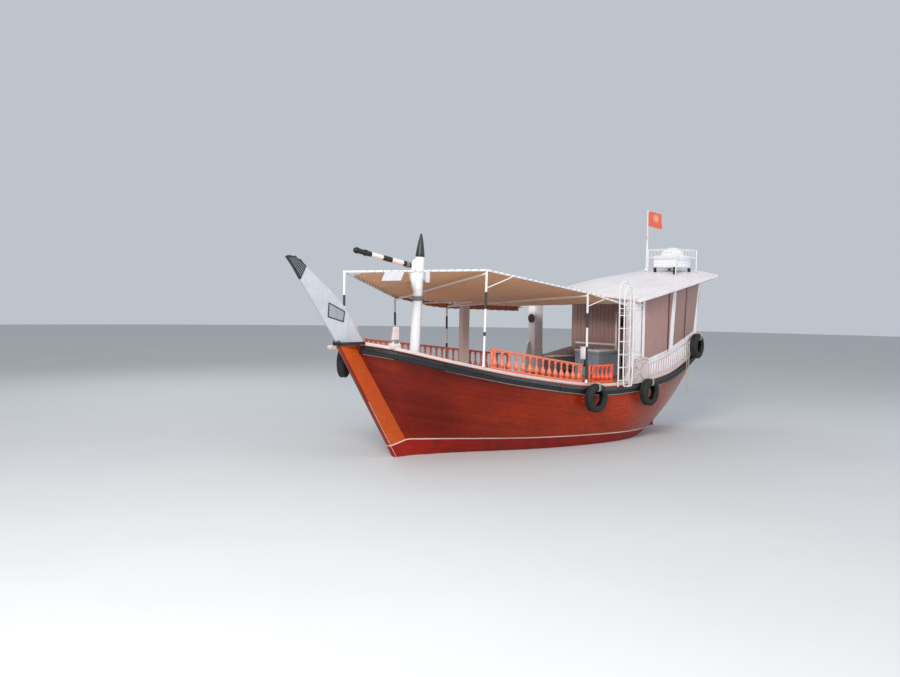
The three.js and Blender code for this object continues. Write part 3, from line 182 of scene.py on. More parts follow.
def station_rows(s):
    """Station values at places s along the table, on a Catmull-Rom curve through its rows."""
    table = np.vstack([STATIONS[:1], STATIONS, STATIONS[-1:]])
    row = np.clip(np.floor(s).astype(int), 0, len(STATIONS) - 2)
    f = (s - row)[..., None]
    a, b, c, d = (table[row + k] for k in range(4))
    slope_b, slope_c = (c - a) / 2, (d - b) / 2
    return (b * (2 * f**3 - 3 * f**2 + 1) + slope_b * (f**3 - 2 * f**2 + f)
            + c * (3 * f**2 - 2 * f**3) + slope_c * (f**3 - f**2))


def hull_point(s, v):
    """The planked side at station place s and share v of the way from keel to sheer.

    The half breadth grows from the keel's as 1 - (1 - v) to the power of the fullness, all to the
    power of one over the turn, and the station leans from its place at the keel to that at the sheer.
    """
    s, v = np.broadcast_arrays(np.asarray(s, float), np.asarray(v, float))
    rows = np.moveaxis(station_rows(s), -1, 0)
    keel_aft, keel_up, sheer_aft, sheer_up, sheer_out, fullness, turn = rows
    out = lerp(KEEL_HALF, sheer_out, (1 - (1 - v) ** fullness) ** (1 / turn))
    return lerp(keel_aft, sheer_aft, v), out, lerp(keel_up, sheer_up, v)


FINE = np.linspace(0, len(STATIONS) - 1, 600)
SHEER_AFT, SHEER_OUT, SHEER_UP = hull_point(FINE, 1.0)


def sheer(aft):
    """Half breadth and height of the sheer at distances aft."""
    return np.interp(aft, SHEER_AFT, SHEER_OUT), np.interp(aft, SHEER_AFT, SHEER_UP)


def widening(aft, step=0.03):
    """How fast the sheer widens towards the stern at distances aft."""
    return (sheer(aft + step)[0] - sheer(aft - step)[0]) / (2 * step)


def hull_out(aft, up):
    """Half breadth of the planked side at distances aft and one height."""
    rows = np.moveaxis(station_rows(FINE), -1, 0)
    v = np.clip((up - rows[1]) / (rows[3] - rows[1]), 0, 1)
    places, outs, _ = hull_point(FINE, v)
    return np.interp(aft, places, outs)


def along_sheer(aft, side, away, rise):
    """Points that stand off the sheer by a level distance square to its plan, and above it by a rise."""
    aft = np.asarray(aft, float)
    out, up = sheer(aft)
    return at(aft, side * (out + np.asarray(away) * np.hypot(1, widening(aft))), up + np.asarray(rise))


# Sections and surfaces.

def round_section(radius, sides=12):
    """A circle as a closed row of points, one for each side."""
    angle = np.linspace(0, 2 * np.pi, sides, endpoint=False)
    return radius * np.stack([np.cos(angle), np.sin(angle)], -1)


def box_section(wide, high, corner, steps=3):
    """A rectangle about the origin whose corners are quarter circles."""
    centres = [(1, 1), (-1, 1), (-1, -1), (1, -1)]
    quarter = np.linspace(0, np.pi / 2, steps + 1)
    rows = []
    for turn, (a, b) in enumerate(centres):
        angle = quarter + turn * np.pi / 2
        rows.append(np.stack([a * (wide / 2 - corner) + corner * np.cos(angle),
                              b * (high / 2 - corner) + corner * np.sin(angle)], -1))
    return np.concatenate(rows)


def carried(path, section, rise=(0, 0, 1)):
    """A closed section carried along a path: its first axis is level and square to the path, its
    second is as near to the given rise as the path allows. A section may differ for each point."""
    path = np.asarray(path, float)
    along = unit(np.gradient(path, axis=0))
    side = unit(np.cross(along, np.broadcast_to(np.asarray(rise, float), along.shape)))
    up = np.cross(side, along)
    section = np.broadcast_to(section, (len(path),) + np.shape(section)[-2:])
    return path[:, None] + section[..., :1] * side[:, None] + section[..., 1:] * up[:, None]


def swept(path, section):
    """A closed section carried along a path that may turn any way. Each section's first axis is the
    last one's, made square to the path again, so that the tube doesn't twist."""
    path = np.asarray(path, float)
    along = unit(np.gradient(path, axis=0))
    first = unit(np.cross(along[0], [0.31, 0.22, 0.92]))
    rows = []
    for direction in along:
        first = unit(first - direction * (first @ direction))
        rows.append(first)
    first = np.stack(rows)
    second = np.cross(along, first)
    section = np.broadcast_to(section, (len(path),) + np.shape(section)[-2:])
    return path[:, None] + section[..., :1] * first[:, None] + section[..., 1:] * second[:, None]


def turned(profile, foot, head=None, sides=24):
    """A profile of [radius, height] rows turned about the line from foot towards head."""
    foot = np.asarray(foot, float)
    axis = np.array([0, 0, 1.0]) if head is None else unit(np.asarray(head, float) - foot)
    across = unit(np.cross(axis, [0, 1, 0] if abs(axis[1]) < 0.9 else [1, 0, 0]))
    other = np.cross(axis, across)
    angle = np.linspace(0, 2 * np.pi, sides, endpoint=False)
    ring = np.cos(angle)[:, None] * across + np.sin(angle)[:, None] * other
    radius, height = np.asarray(profile, float).T
    return foot + height[:, None, None] * axis + radius[:, None, None] * ring[None]


def rounded(points, each=8, closed=False):
    """A Catmull-Rom curve through a few points, with the given number of steps between them."""
    points = np.asarray(points, float)
    if closed:
        table = np.vstack([points[-1:], points, points[:2]])
    else:
        table = np.vstack([2 * points[0] - points[1], points, 2 * points[-1] - points[-2]])
    f = (np.arange(each) / each)[:, None]
    count = len(table) - 3
    rows = [0.5 * ((2 * b) + (c - a) * f + (2 * a - 5 * b + 4 * c - d) * f**2
                   + (3 * b - a - 3 * c + d) * f**3)
            for a, b, c, d in (table[i:i + 4] for i in range(count))]
    curve = np.concatenate(rows)
    return curve if closed else np.vstack([curve, points[-1:]])


def run_of(points):
    """Length of a path."""
    return float(np.linalg.norm(np.diff(points, axis=0), axis=1).sum())


def cells(points):
    """Area of each cell of a grid of points."""
    corner = points[:-1, :-1]
    return np.linalg.norm(np.cross(points[1:, :-1] - corner, points[:-1, 1:] - corner), axis=-1)


def even_path(points, step):
    """The same line with points at an even spacing along it."""
    points = np.asarray(points, float)
    length = np.concatenate([[0], np.cumsum(np.linalg.norm(np.diff(points, axis=0), axis=1))])
    places = np.linspace(0, length[-1], max(2, int(round(length[-1] / step)) + 1))
    return np.stack([np.interp(places, length, points[:, k]) for k in range(3)], -1)


class Shell:
    """The arrays of one mesh, gathered from grids, bars, turned pieces and flat faces."""

    def __init__(self):
        self.points, self.faces, self.maps, self.slots, self.marks = [], [], [], [], []
        self.count = 0

    def faces_of(self, points, faces, maps, slot, mark=0.0):
        """Adds points with faces that index them, and one map position for each corner."""
        self.points.append(points.reshape(-1, 3))
        self.faces += [[k + self.count for k in face] for face in faces]
        self.maps += maps
        self.slots += [slot] * len(faces)
        self.marks.append(np.broadcast_to(mark, points.shape[:-1]).ravel())
        self.count += len(points.reshape(-1, 3))

    def grid(self, points, around=False, flip=False, slot=0, mark=0.0):
        """A grid of points as quads. The map runs along the rows and columns in metres."""
        rows, columns = points.shape[:2]
        wide = columns if around else columns - 1
        i, j = np.meshgrid(np.arange(rows - 1), np.arange(wide), indexing="ij")
        k = (j + 1) % columns
        quads = np.stack([i * columns + j, i * columns + k, (i + 1) * columns + k, (i + 1) * columns + j], -1)
        down = np.concatenate([[0], np.cumsum(np.linalg.norm(np.diff(points, axis=0), axis=-1).mean(1))])
        closing = points[:, :1] if around else points[:, :0]
        looped = np.concatenate([points, closing], 1)
        across = np.concatenate([[0], np.cumsum(np.linalg.norm(np.diff(looped, axis=1), axis=-1).mean(0))])
        corners = np.stack([
            np.stack([across[j], down[i]], -1), np.stack([across[j + 1], down[i]], -1),
            np.stack([across[j + 1], down[i + 1]], -1), np.stack([across[j], down[i + 1]], -1),
        ], -2)
        if flip:
            quads, corners = quads[..., ::-1], corners[..., ::-1, :]
        self.faces_of(points, quads.reshape(-1, 4).tolist(), corners.reshape(-1, 2).tolist(), slot, mark)
        return self

    def face(self, ring, flip=False, slot=0):
        """One flat face through a ring of points, mapped in its own plane."""
        ring = np.asarray(ring, float)
        normal = unit(np.cross(ring, np.roll(ring, -1, 0)).sum(0))
        first = unit(np.cross(normal, [0, 0, 1] if abs(normal[2]) < 0.9 else [1, 0, 0]))
        flat = np.stack([ring @ first, ring @ np.cross(normal, first)], -1)
        order = list(range(len(ring)))[::-1 if flip else 1]
        self.faces_of(ring, [order], flat[order].tolist(), slot)
        return self

    def tube(self, points, flip=False, slot=0, ends=True):
        """A closed section carried along, with flat ends."""
        self.grid(points, around=True, flip=flip, slot=slot)
        if ends:
            self.face(points[0], flip=not flip, slot=slot)
            self.face(points[-1], flip=flip, slot=slot)
        return self

    def bar(self, start, end, wide, high, corner=0.004, rise=(0, 0, 1), slot=0):
        """A straight bar with rounded edges whose ends are chamfered by the same amount."""
        start, end = np.asarray(start, float), np.asarray(end, float)
        length = np.linalg.norm(end - start)
        places = np.array([0, corner, length - corner, length]) / length
        inner = box_section(wide - 2 * corner * 0.7, high - 2 * corner * 0.7, corner * 0.5)
        outer = box_section(wide, high, corner)
        sections = np.stack([inner, outer, outer, inner])
        return self.tube(carried(start + places[:, None] * (end - start), sections, rise), flip=True,
                         slot=slot)

    def block(self, low, high, corner=0.004, slot=0):
        """A box between two corners, as a bar along its longest side."""
        low, high = np.asarray(low, float), np.asarray(high, float)
        size, middle = high - low, (low + high) / 2
        axis = int(np.argmax(size))
        start, end = middle.copy(), middle.copy()
        start[axis], end[axis] = low[axis], high[axis]
        rise_axis = 2 if axis != 2 else 1
        side_axis = 3 - axis - rise_axis
        rise = np.eye(3)[rise_axis]
        return self.bar(start, end, size[side_axis], size[rise_axis], corner, rise, slot)

    def inset(self, low, high, margin, foot, head, corner, slot=0):
        """A block that keeps a margin at the four sides of a box, between two heights."""
        corners = [low[0] + margin, low[1] + margin, foot], [high[0] - margin, high[1] - margin, head]
        return self.block(*corners, corner, slot)

    def strip(self, path, wide, high, corner, rise=(0, 0, 1), slot=0):
        """A rounded batten along a path."""
        return self.tube(carried(path, box_section(wide, high, corner), rise), slot=slot)

    def wire(self, path, radius, sides, slot=0):
        """A round bar along a path that may turn any way."""
        return self.tube(swept(path, round_section(radius, sides)), slot=slot)

    def stud(self, aft, out, low, high, wide, deep, corner, slot=0):
        """An upright bar between two heights."""
        return self.bar(at(aft, out, low), at(aft, out, high), wide, deep, corner, (1, 0, 0), slot)

    def rod(self, start, end, radius, sides=16, slot=0, end_radius=None):
        """A round bar between two points whose rims are slightly rounded."""
        start, end = np.asarray(start, float), np.asarray(end, float)
        length = np.linalg.norm(end - start)
        last = radius if end_radius is None else end_radius
        rim = min(radius, last) * 0.18
        profile = [[radius - rim, 0], [radius, rim], [last, length - rim], [last - rim, length]]
        return self.lathe(profile, start, end, sides, slot)

    def lathe(self, profile, foot, head=None, sides=24, slot=0):
        """A turned piece, closed at both ends of its profile."""
        points = turned(profile, foot, head, sides)
        self.grid(points, around=True, slot=slot)
        if profile[0][0] > 1e-6:
            self.face(points[0], flip=True, slot=slot)
        if profile[-1][0] > 1e-6:
            self.face(points[-1], slot=slot)
        return self

    def plate(self, outline, out, thick, edge=0.006, slot=0):
        """An upright plate: an outline of [aft, up] rows drawn across from out, with chamfered rims."""
        outline = np.asarray(outline, float)
        after, before = np.roll(outline, -1, 0), np.roll(outline, 1, 0)
        area = (outline[:, 0] * after[:, 1] - after[:, 0] * outline[:, 1]).sum()
        square = unit(after - outline) + unit(outline - before)
        inward = unit(square[:, ::-1] * [-1, 1]) * np.sign(area)
        inset = outline + inward * edge
        half = thick / 2
        rings = [at(inset[:, 0], out - half, inset[:, 1]),
                 at(outline[:, 0], out - half + edge, outline[:, 1]),
                 at(outline[:, 0], out + half - edge, outline[:, 1]),
                 at(inset[:, 0], out + half, inset[:, 1])]
        return self.tube(np.stack(rings), slot=slot)

    def make(self, name, paints, replaces=None, body=BOAT, sharp=40.0, solid=True):
        """Makes the object, closes its seams, points its faces outwards and seats it on its body.

        Paints are names from the palette, with commas between them.
        """
        mesh = bpy.data.meshes.new(name)
        mesh.from_pydata(np.concatenate(self.points).tolist(), [], self.faces)
        mesh.uv_layers.new(name="UVMap").data.foreach_set("uv", np.asarray(self.maps, np.float32).ravel())
        mesh.attributes.new("mark", "FLOAT", "POINT").data.foreach_set(
            "value", np.concatenate(self.marks).astype(np.float32))
        mesh.polygons.foreach_set("material_index", np.asarray(self.slots, np.int32))
        work = bmesh.new()
        work.from_mesh(mesh)
        bmesh.ops.remove_doubles(work, verts=work.verts, dist=2e-5)
        bmesh.ops.dissolve_degenerate(work, dist=1e-6, edges=work.edges)
        if solid:
            bmesh.ops.recalc_face_normals(work, faces=work.faces)
        work.to_mesh(mesh)
        work.free()
        mesh.shade_smooth()
        mesh.set_sharp_from_angle(angle=math.radians(sharp))
        for paint in paints.split(", "):
            mesh.materials.append(Palette.get(paint))
        piece = bpy.data.objects.new(name, mesh)
        bpy.context.scene.collection.objects.link(piece)
        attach(piece, body)
        if replaces:
            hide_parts(replaces)
        return piece


# Materials.

class Graph:
    """Adds nodes to one node tree: settings by name, and inputs by name or number."""

    def __init__(self, tree):
        self.tree = tree

    def node(self, kind, inputs, **settings):
        node = self.tree.nodes.new("ShaderNode" + kind)
        for name, value in settings.items():
            setattr(node, name, value)
        for name, value in inputs.items():
            if isinstance(value, bpy.types.NodeSocket):
                self.tree.links.new(value, node.inputs[name])
            else:
                node.inputs[name].default_value = value
        return node

    def add(self, kind, inputs=None, out=0, **settings):
        """Makes a node of the given kind and returns one of its outputs."""
        return self.node(kind, inputs or {}, **settings).outputs[out]

    def group(self, which, **inputs):
        """Places a shared node group, built when it's first asked for, and returns its outputs."""
        if which not in GROUPS:
            GROUPS[which] = GROUP_BUILDERS[which]()
        return self.node("Group", inputs, node_tree=GROUPS[which]).outputs

    def math(self, operation, a, b=0.5, clamp=False):
        return self.add("Math", {0: a, 1: b}, operation=operation, use_clamp=clamp)

    def times(self, a, b):
        return self.math("MULTIPLY", a, b)

    def plus(self, a, b, clamp=False):
        return self.math("ADD", a, b, clamp)

    def minus(self, a, b):
        return self.math("SUBTRACT", a, b)

    def mix(self, factor, a, b):
        return self.add("Mix", {0: factor, 6: a, 7: b}, out=2, data_type="RGBA")

    def ramp(self, value, low, high, to_low=0.0, to_high=1.0):
        """The value stretched from the range low to high onto another, and held at its ends."""
        return self.add("MapRange", {0: value, 1: low, 2: high, 3: to_low, 4: to_high})

    def noise(self, place, scale, detail=4.0, rough=0.55):
        return self.add("TexNoise", {"Vector": place, "Scale": scale, "Detail": detail, "Roughness": rough})

    def random(self, value):
        """An even random number between 0 and 1 for each value."""
        return self.add("TexWhiteNoise", {"W": value}, noise_dimensions="1D")

    def stretch(self, place, scale):
        return self.add("Mapping", {"Vector": place, "Scale": scale})

    def split(self, place):
        """The three parts of a place."""
        return self.node("SeparateXYZ", {0: place}).outputs

    def place(self):
        return self.add("TexCoord", out=3)

    def uv(self):
        return self.add("TexCoord", out=2)


def node_group(name, inputs, outputs):
    """An empty node group with named sockets, its graph, its inputs and a function that links outputs.

    An input without a value of its own is a place."""
    tree = bpy.data.node_groups.new(name, "ShaderNodeTree")
    for label, value in inputs.items():
        kind = "Vector" if value is None else "Float"
        socket = tree.interface.new_socket(label, in_out="INPUT", socket_type="NodeSocket" + kind)
        if value is not None:
            socket.default_value = value
    for label in outputs:
        tree.interface.new_socket(label, in_out="OUTPUT", socket_type="NodeSocketFloat")
    source, target = tree.nodes.new("NodeGroupInput"), tree.nodes.new("NodeGroupOutput")

    def put(**values):
        for label, value in values.items():
            tree.links.new(value, target.inputs[label])
        return tree

    return Graph(tree), source.outputs, put


def build_timber_grain():
    """Long fibres: noise drawn out along one axis, broken by finer noise, with darker year rings."""
    g, given, put = node_group("Timber grain", {"Place": None, "Scale": 1.0}, ["Fibres", "Rings"])
    scaled = g.add("VectorMath", {0: given["Place"], "Scale": given["Scale"]}, operation="SCALE")
    fibres = g.noise(scaled, 60.0, 5.0, 0.6)
    bends = g.add("TexNoise", {"Vector": scaled, "Scale": 3.0}, out=1)
    bent = g.add("VectorMath", {0: scaled, 1: bends}, operation="ADD")
    rings = g.add("TexWave", {"Vector": bent, "Scale": 7.0, "Distortion": 5.0, "Detail": 3.0}, out=1)
    return put(Fibres=fibres, Rings=rings)


def build_edge_wear():
    """Chips: broken noise where it passes a limit."""
    g, given, put = node_group("Edge wear", {"Place": None, "Amount": 0.3, "Scale": 9.0}, ["Chips"])
    patches = g.noise(given["Place"], given["Scale"], 8.0, 0.7)
    reached = g.plus(patches, g.times(given["Amount"], 0.2))
    return put(Chips=g.ramp(reached, 0.75, 0.78))


def build_grime():
    """Dirt: broad patches, and streaks that run down the surface."""
    g, given, put = node_group("Grime", {"Place": None, "Streaks": 0.5}, ["Dirt", "Mottle"])
    broad = g.noise(given["Place"], 1.7, 5.0, 0.6)
    down = g.noise(g.stretch(given["Place"], (9.0, 9.0, 0.7)), 2.0, 6.0, 0.6)
    streaks = g.times(g.ramp(down, 0.5, 0.75), given["Streaks"])
    dirt = g.plus(g.ramp(broad, 0.45, 0.8, 0.0, 0.6), streaks, clamp=True)
    return put(Dirt=dirt, Mottle=g.noise(given["Place"], 6.0, 6.0, 0.7))


def build_weave():
    """Cloth: two sets of crossing threads, with some threads thicker than others."""
    g, given, put = node_group("Weave", {"Place": None, "Threads": 300.0}, ["Height", "Slub"])
    parts = g.split(given["Place"])
    rows = [g.math("SINE", g.times(parts[k], given["Threads"])) for k in (0, 1)]
    slub = g.noise(g.stretch(given["Place"], (1.0, 14.0, 1.0)), 12.0, 3.0, 0.6)
    return put(Height=g.math("MAXIMUM", *rows), Slub=slub)


GROUP_BUILDERS = {
    "grain": build_timber_grain, "wear": build_edge_wear, "grime": build_grime, "weave": build_weave}
GROUPS = {}


def start_material(name, **constants):
    """A new material: its graph, and a function that links sockets of its Principled shader."""
    material = bpy.data.materials.new(name)
    material.use_nodes = True
    g = Graph(material.node_tree)
    shader = material.node_tree.nodes["Principled BSDF"]
    for label, value in constants.items():
        shader.inputs[label.replace("_", " ")].default_value = value

    def finish(color, rough=None, height=None, depth=0.001, strength=0.6):
        links = {"Base Color": color, "Roughness": rough}
        if height is not None:
            links["Normal"] = g.add("Bump", {"Height": height, "Distance": depth, "Strength": strength})
        for label, value in links.items():
            if value is not None:
                g.tree.links.new(value, shader.inputs[label])
        return material

    return g, finish


ALONG_HULL = (0.07, 1.0, 1.0)
UPRIGHT = (1.0, 1.0, 0.07)


def painted_timber(name, color, rough=0.42, worn=0.3, streaks=0.5, along=ALONG_HULL,
                   under=(120, 84, 60), dirt=(0.55, 0.5, 0.45)):
    """Gloss paint over planks: fibres show through it, edges are chipped and rain has left streaks."""
    g, finish = start_material(name, Specular_IOR_Level=0.5)
    place = g.place()
    grain = g.group("grain", Place=g.stretch(place, along), Scale=1.0)
    wear = g.group("wear", Place=place, Amount=worn, Scale=17.0)
    grime = g.group("grime", Place=place, Streaks=streaks)
    base = shade(color)
    paint = g.mix(g.times(grime["Dirt"], 0.55), base, tinted(base, dirt))
    paint = g.mix(g.ramp(grime["Mottle"], 0.4, 0.7, 0.0, 0.4), paint, tinted(base, 1.12, 0.02))
    bare = g.mix(grain["Rings"], shade(under), tinted(shade(under), 0.5))
    final = g.mix(g.times(wear["Chips"], 0.85), paint, bare)
    shine = g.plus(g.ramp(grime["Mottle"], 0.3, 0.7, rough - 0.08, rough + 0.12), g.times(wear["Chips"], 0.3))
    height = g.minus(g.times(grain["Fibres"], 0.25), g.times(wear["Chips"], 0.6))
    return finish(final, shine, height, 0.0015, 0.5)


def hull_paint(name, varnish, dark):
    """Varnished planks whose tint changes from strake to strake. Painted light lies over the tint: the planks
    darken towards the bow as painted shade under its flare, lighten aft as painted sunlight and turn
    mauve at the quarter as painted shade and reflection. A white line and red paint lie low down,
    at a height that rises a little towards the bow and is held down there by a steeper fall."""
    line_up, line_slope, line_half, blur = 0.28, 0.0235, 0.012, 0.003
    g, finish = start_material(name, Coat_Weight=0.12, Coat_Roughness=0.15, Specular_IOR_Level=0.2)
    place = g.place()
    grain = g.group("grain", Place=g.stretch(place, ALONG_HULL), Scale=1.0)
    wear = g.group("wear", Place=place, Amount=0.1, Scale=5.0)
    grime = g.group("grime", Place=place, Streaks=0.8)
    strake = g.math("FLOOR", g.add("Attribute", out=2, attribute_name="mark"))
    ahead, _, up = g.split(place)
    stagger = g.times(g.random(strake), 7.0)
    board = g.math("FLOOR", g.plus(g.math("DIVIDE", ahead, 3.4), stagger))
    tint = g.random(g.plus(g.times(strake, 17.0), board))
    broad = g.noise(g.stretch(place, (0.35, 1, 1)), 1.1, 3.0, 0.5)
    tone = g.plus(g.times(tint, 0.16), g.ramp(broad, 0.35, 0.7, 0.0, 0.5))
    # Painted shade and light: the planks darken towards the bow, as shade under its flare, and lighten aft,
    # as sunlight.
    tone = g.plus(tone, g.ramp(ahead, 2.6, -0.6, 0.0, 0.45), clamp=True)
    wood = g.mix(tone, shade(hue(dark)), shade(varnish))
    wood = g.mix(g.times(grain["Rings"], 0.25), wood, tinted(shade(hue(dark)), 0.45))
    wood = g.mix(g.times(grime["Dirt"], 0.25), wood, shade((70, 40, 28)))
    wood = g.mix(g.times(wear["Chips"], 0.5), wood, shade((170, 110, 75)))
    # Painted shade and reflection on the quarter, where the side turns away: the planks go towards a mauve
    # brown.
    wood = g.mix(g.ramp(ahead, -1.6, -3.6, 0.0, 0.75), wood, shade((150, 104, 92)))
    height = g.plus(g.times(ahead, line_slope), line_up)
    dip = g.plus(g.times(ahead, -0.24), 1.2)
    level = g.minus(up, g.math("MINIMUM", height, dip))
    level = g.plus(level, g.times(g.minus(g.noise(place, 3.0, 2.0), 0.5), 0.012))
    above = g.ramp(level, line_half - blur, line_half + blur)
    under = g.ramp(level, blur - line_half, -blur - line_half)
    patches = g.ramp(g.noise(place, 4.0, 6.0), 0.45, 0.75, 0.0, 0.7)
    fouled = g.mix(patches, shade(hue("bottom")), shade((96, 30, 22)))
    fouled = g.mix(g.ramp(up, 0.06, -0.05, 0.0, 0.55), fouled, shade((62, 66, 44)))
    color = g.mix(under, g.mix(above, shade(hue("boot_line")), wood), fouled)
    rough = g.plus(g.ramp(grime["Mottle"], 0.3, 0.7, 0.2, 0.34), g.times(under, 0.35))
    height = g.plus(g.times(grain["Fibres"], 0.2), g.times(grime["Mottle"], 0.5))
    return finish(color, rough, height, 0.002, 0.35)


def deck_planks(name, color, board=0.12):
    """Bare fore-and-aft planks with dark caulked seams and staggered butts."""
    g, finish = start_material(name)
    place = g.place()
    planks, seams = g.node("TexBrick", {
        "Vector": place, "Color1": shade(color), "Color2": shade(color, 0.82), "Mortar": shade((38, 32, 28)),
        "Scale": 1.0, "Mortar Size": 0.004, "Mortar Smooth": 0.2, "Bias": 0.0, "Brick Width": 2.4,
        "Row Height": board}, offset=0.37).outputs
    grain = g.group("grain", Place=g.stretch(place, ALONG_HULL), Scale=1.0)
    grime = g.group("grime", Place=place, Streaks=0.0)
    wood = g.mix(g.times(grain["Rings"], 0.3), planks, shade(color, 0.6))
    wood = g.mix(g.times(grime["Dirt"], 0.5), wood, shade((92, 82, 74)))
    height = g.minus(g.times(grain["Fibres"], 0.3), seams)
    return finish(wood, g.ramp(grime["Mottle"], 0.3, 0.7, 0.5, 0.75), height, 0.002, 0.7)


def painted_pipe(name, color, rough=0.35):
    """Enamelled pipe with small rust spots and handling marks."""
    g, finish = start_material(name)
    place = g.place()
    grime = g.group("grime", Place=place, Streaks=0.4)
    spots = g.ramp(g.noise(place, 38.0, 3.0, 0.6), 0.68, 0.74)
    body = g.mix(g.times(grime["Dirt"], 0.3), shade(color), shade(color, 0.7))
    body = g.mix(g.times(spots, 0.6), body, shade((140, 78, 44)))
    shine = g.ramp(grime["Mottle"], 0.3, 0.7, rough - 0.08, rough + 0.15)
    return finish(body, shine, g.noise(place, 90.0, 2.0), 0.0006, 0.3)


def cloth(name, color, threads=900.0, patch=None):
    """Woven cloth with uneven fading, slubs and soft dirt. A patch adds a pale shape set by the map:
    its middle, its half sizes and its colour."""
    g, finish = start_material(name, Roughness=0.88, Sheen_Weight=0.2)
    uv = g.uv()
    weave = g.group("weave", Place=uv, Threads=threads)
    grime = g.group("grime", Place=g.place(), Streaks=0.2)
    base = shade(color)
    body = g.mix(g.ramp(grime["Mottle"], 0.35, 0.65), base, tinted(base, (1.2, 1.15, 1.1)))
    body = g.mix(g.times(weave["Slub"], 0.25), body, tinted(base, 0.75))
    body = g.mix(g.times(grime["Dirt"], 0.3), body, tinted(base, 0.6))
    if patch:
        middle, half, pale = patch
        parts = g.split(uv)
        inside = [g.ramp(g.math("ABSOLUTE", g.minus(parts[k], middle[k])), half[k], half[k] - 0.09)
                  for k in (0, 1)]
        body = g.mix(g.times(g.times(*inside), 0.6), body, shade(pale))
    return finish(body, None, weave["Height"], 0.0004, 0.4)


def laid_rope(name, color):
    """Twisted fibre: fine hairs along the strands and grey dirt in the lays."""
    g, finish = start_material(name, Roughness=0.9, Sheen_Weight=0.15)
    hairs = g.noise(g.stretch(g.uv(), (260.0, 30.0, 1.0)), 3.0, 4.0, 0.6)
    dirt = g.noise(g.place(), 9.0, 4.0, 0.6)
    body = g.mix(g.ramp(hairs, 0.3, 0.7), shade(color, 0.78), shade(color))
    body = g.mix(g.ramp(dirt, 0.5, 0.8, 0.0, 0.5), body, shade(color, 0.5))
    return finish(body, None, hairs, 0.0006, 0.6)


def weathered_rubber(name, color):
    """Old tyre rubber: grey bloom, salt stains and fine cracks."""
    g, finish = start_material(name)
    place = g.place()
    bloom = g.noise(place, 5.0, 6.0, 0.65)
    cracks = g.add("TexVoronoi", {"Vector": place, "Scale": 60.0}, feature="DISTANCE_TO_EDGE")
    greyed = shade([min(255, c * 1.5 + 8) for c in color])
    body = g.mix(g.ramp(bloom, 0.4, 0.7), shade(color), greyed)
    body = g.mix(g.ramp(bloom, 0.68, 0.8, 0.0, 0.3), body, shade((150, 152, 146)))
    height = g.plus(g.ramp(cracks, 0.0, 0.05), g.times(bloom, 0.5))
    return finish(body, g.ramp(bloom, 0.3, 0.7, 0.6, 0.85), height, 0.0008, 0.4)


def bare_metal(name, color, rough=0.35, tarnish=(90, 110, 90)):
    """Metal with a tarnished film in patches."""
    g, finish = start_material(name, Metallic=1.0)
    film = g.noise(g.place(), 14.0, 6.0, 0.65)
    body = g.mix(g.ramp(film, 0.45, 0.75, 0.0, 0.7), shade(color), shade(tarnish))
    return finish(body, g.ramp(film, 0.3, 0.8, rough, rough + 0.35), film, 0.0006, 0.3)


def moulded_plastic(name, color):
    """Sun-bleached moulding with a fine skin and chalky patches."""
    g, finish = start_material(name, Subsurface_Weight=0.05)
    place = g.place()
    grime = g.group("grime", Place=place, Streaks=0.7)
    body = g.mix(g.times(grime["Dirt"], 0.3), shade(color), shade(color, 0.84))
    return finish(body, g.ramp(grime["Mottle"], 0.3, 0.7, 0.35, 0.6), g.noise(place, 160.0, 2.0), 0.0004, 0.3)


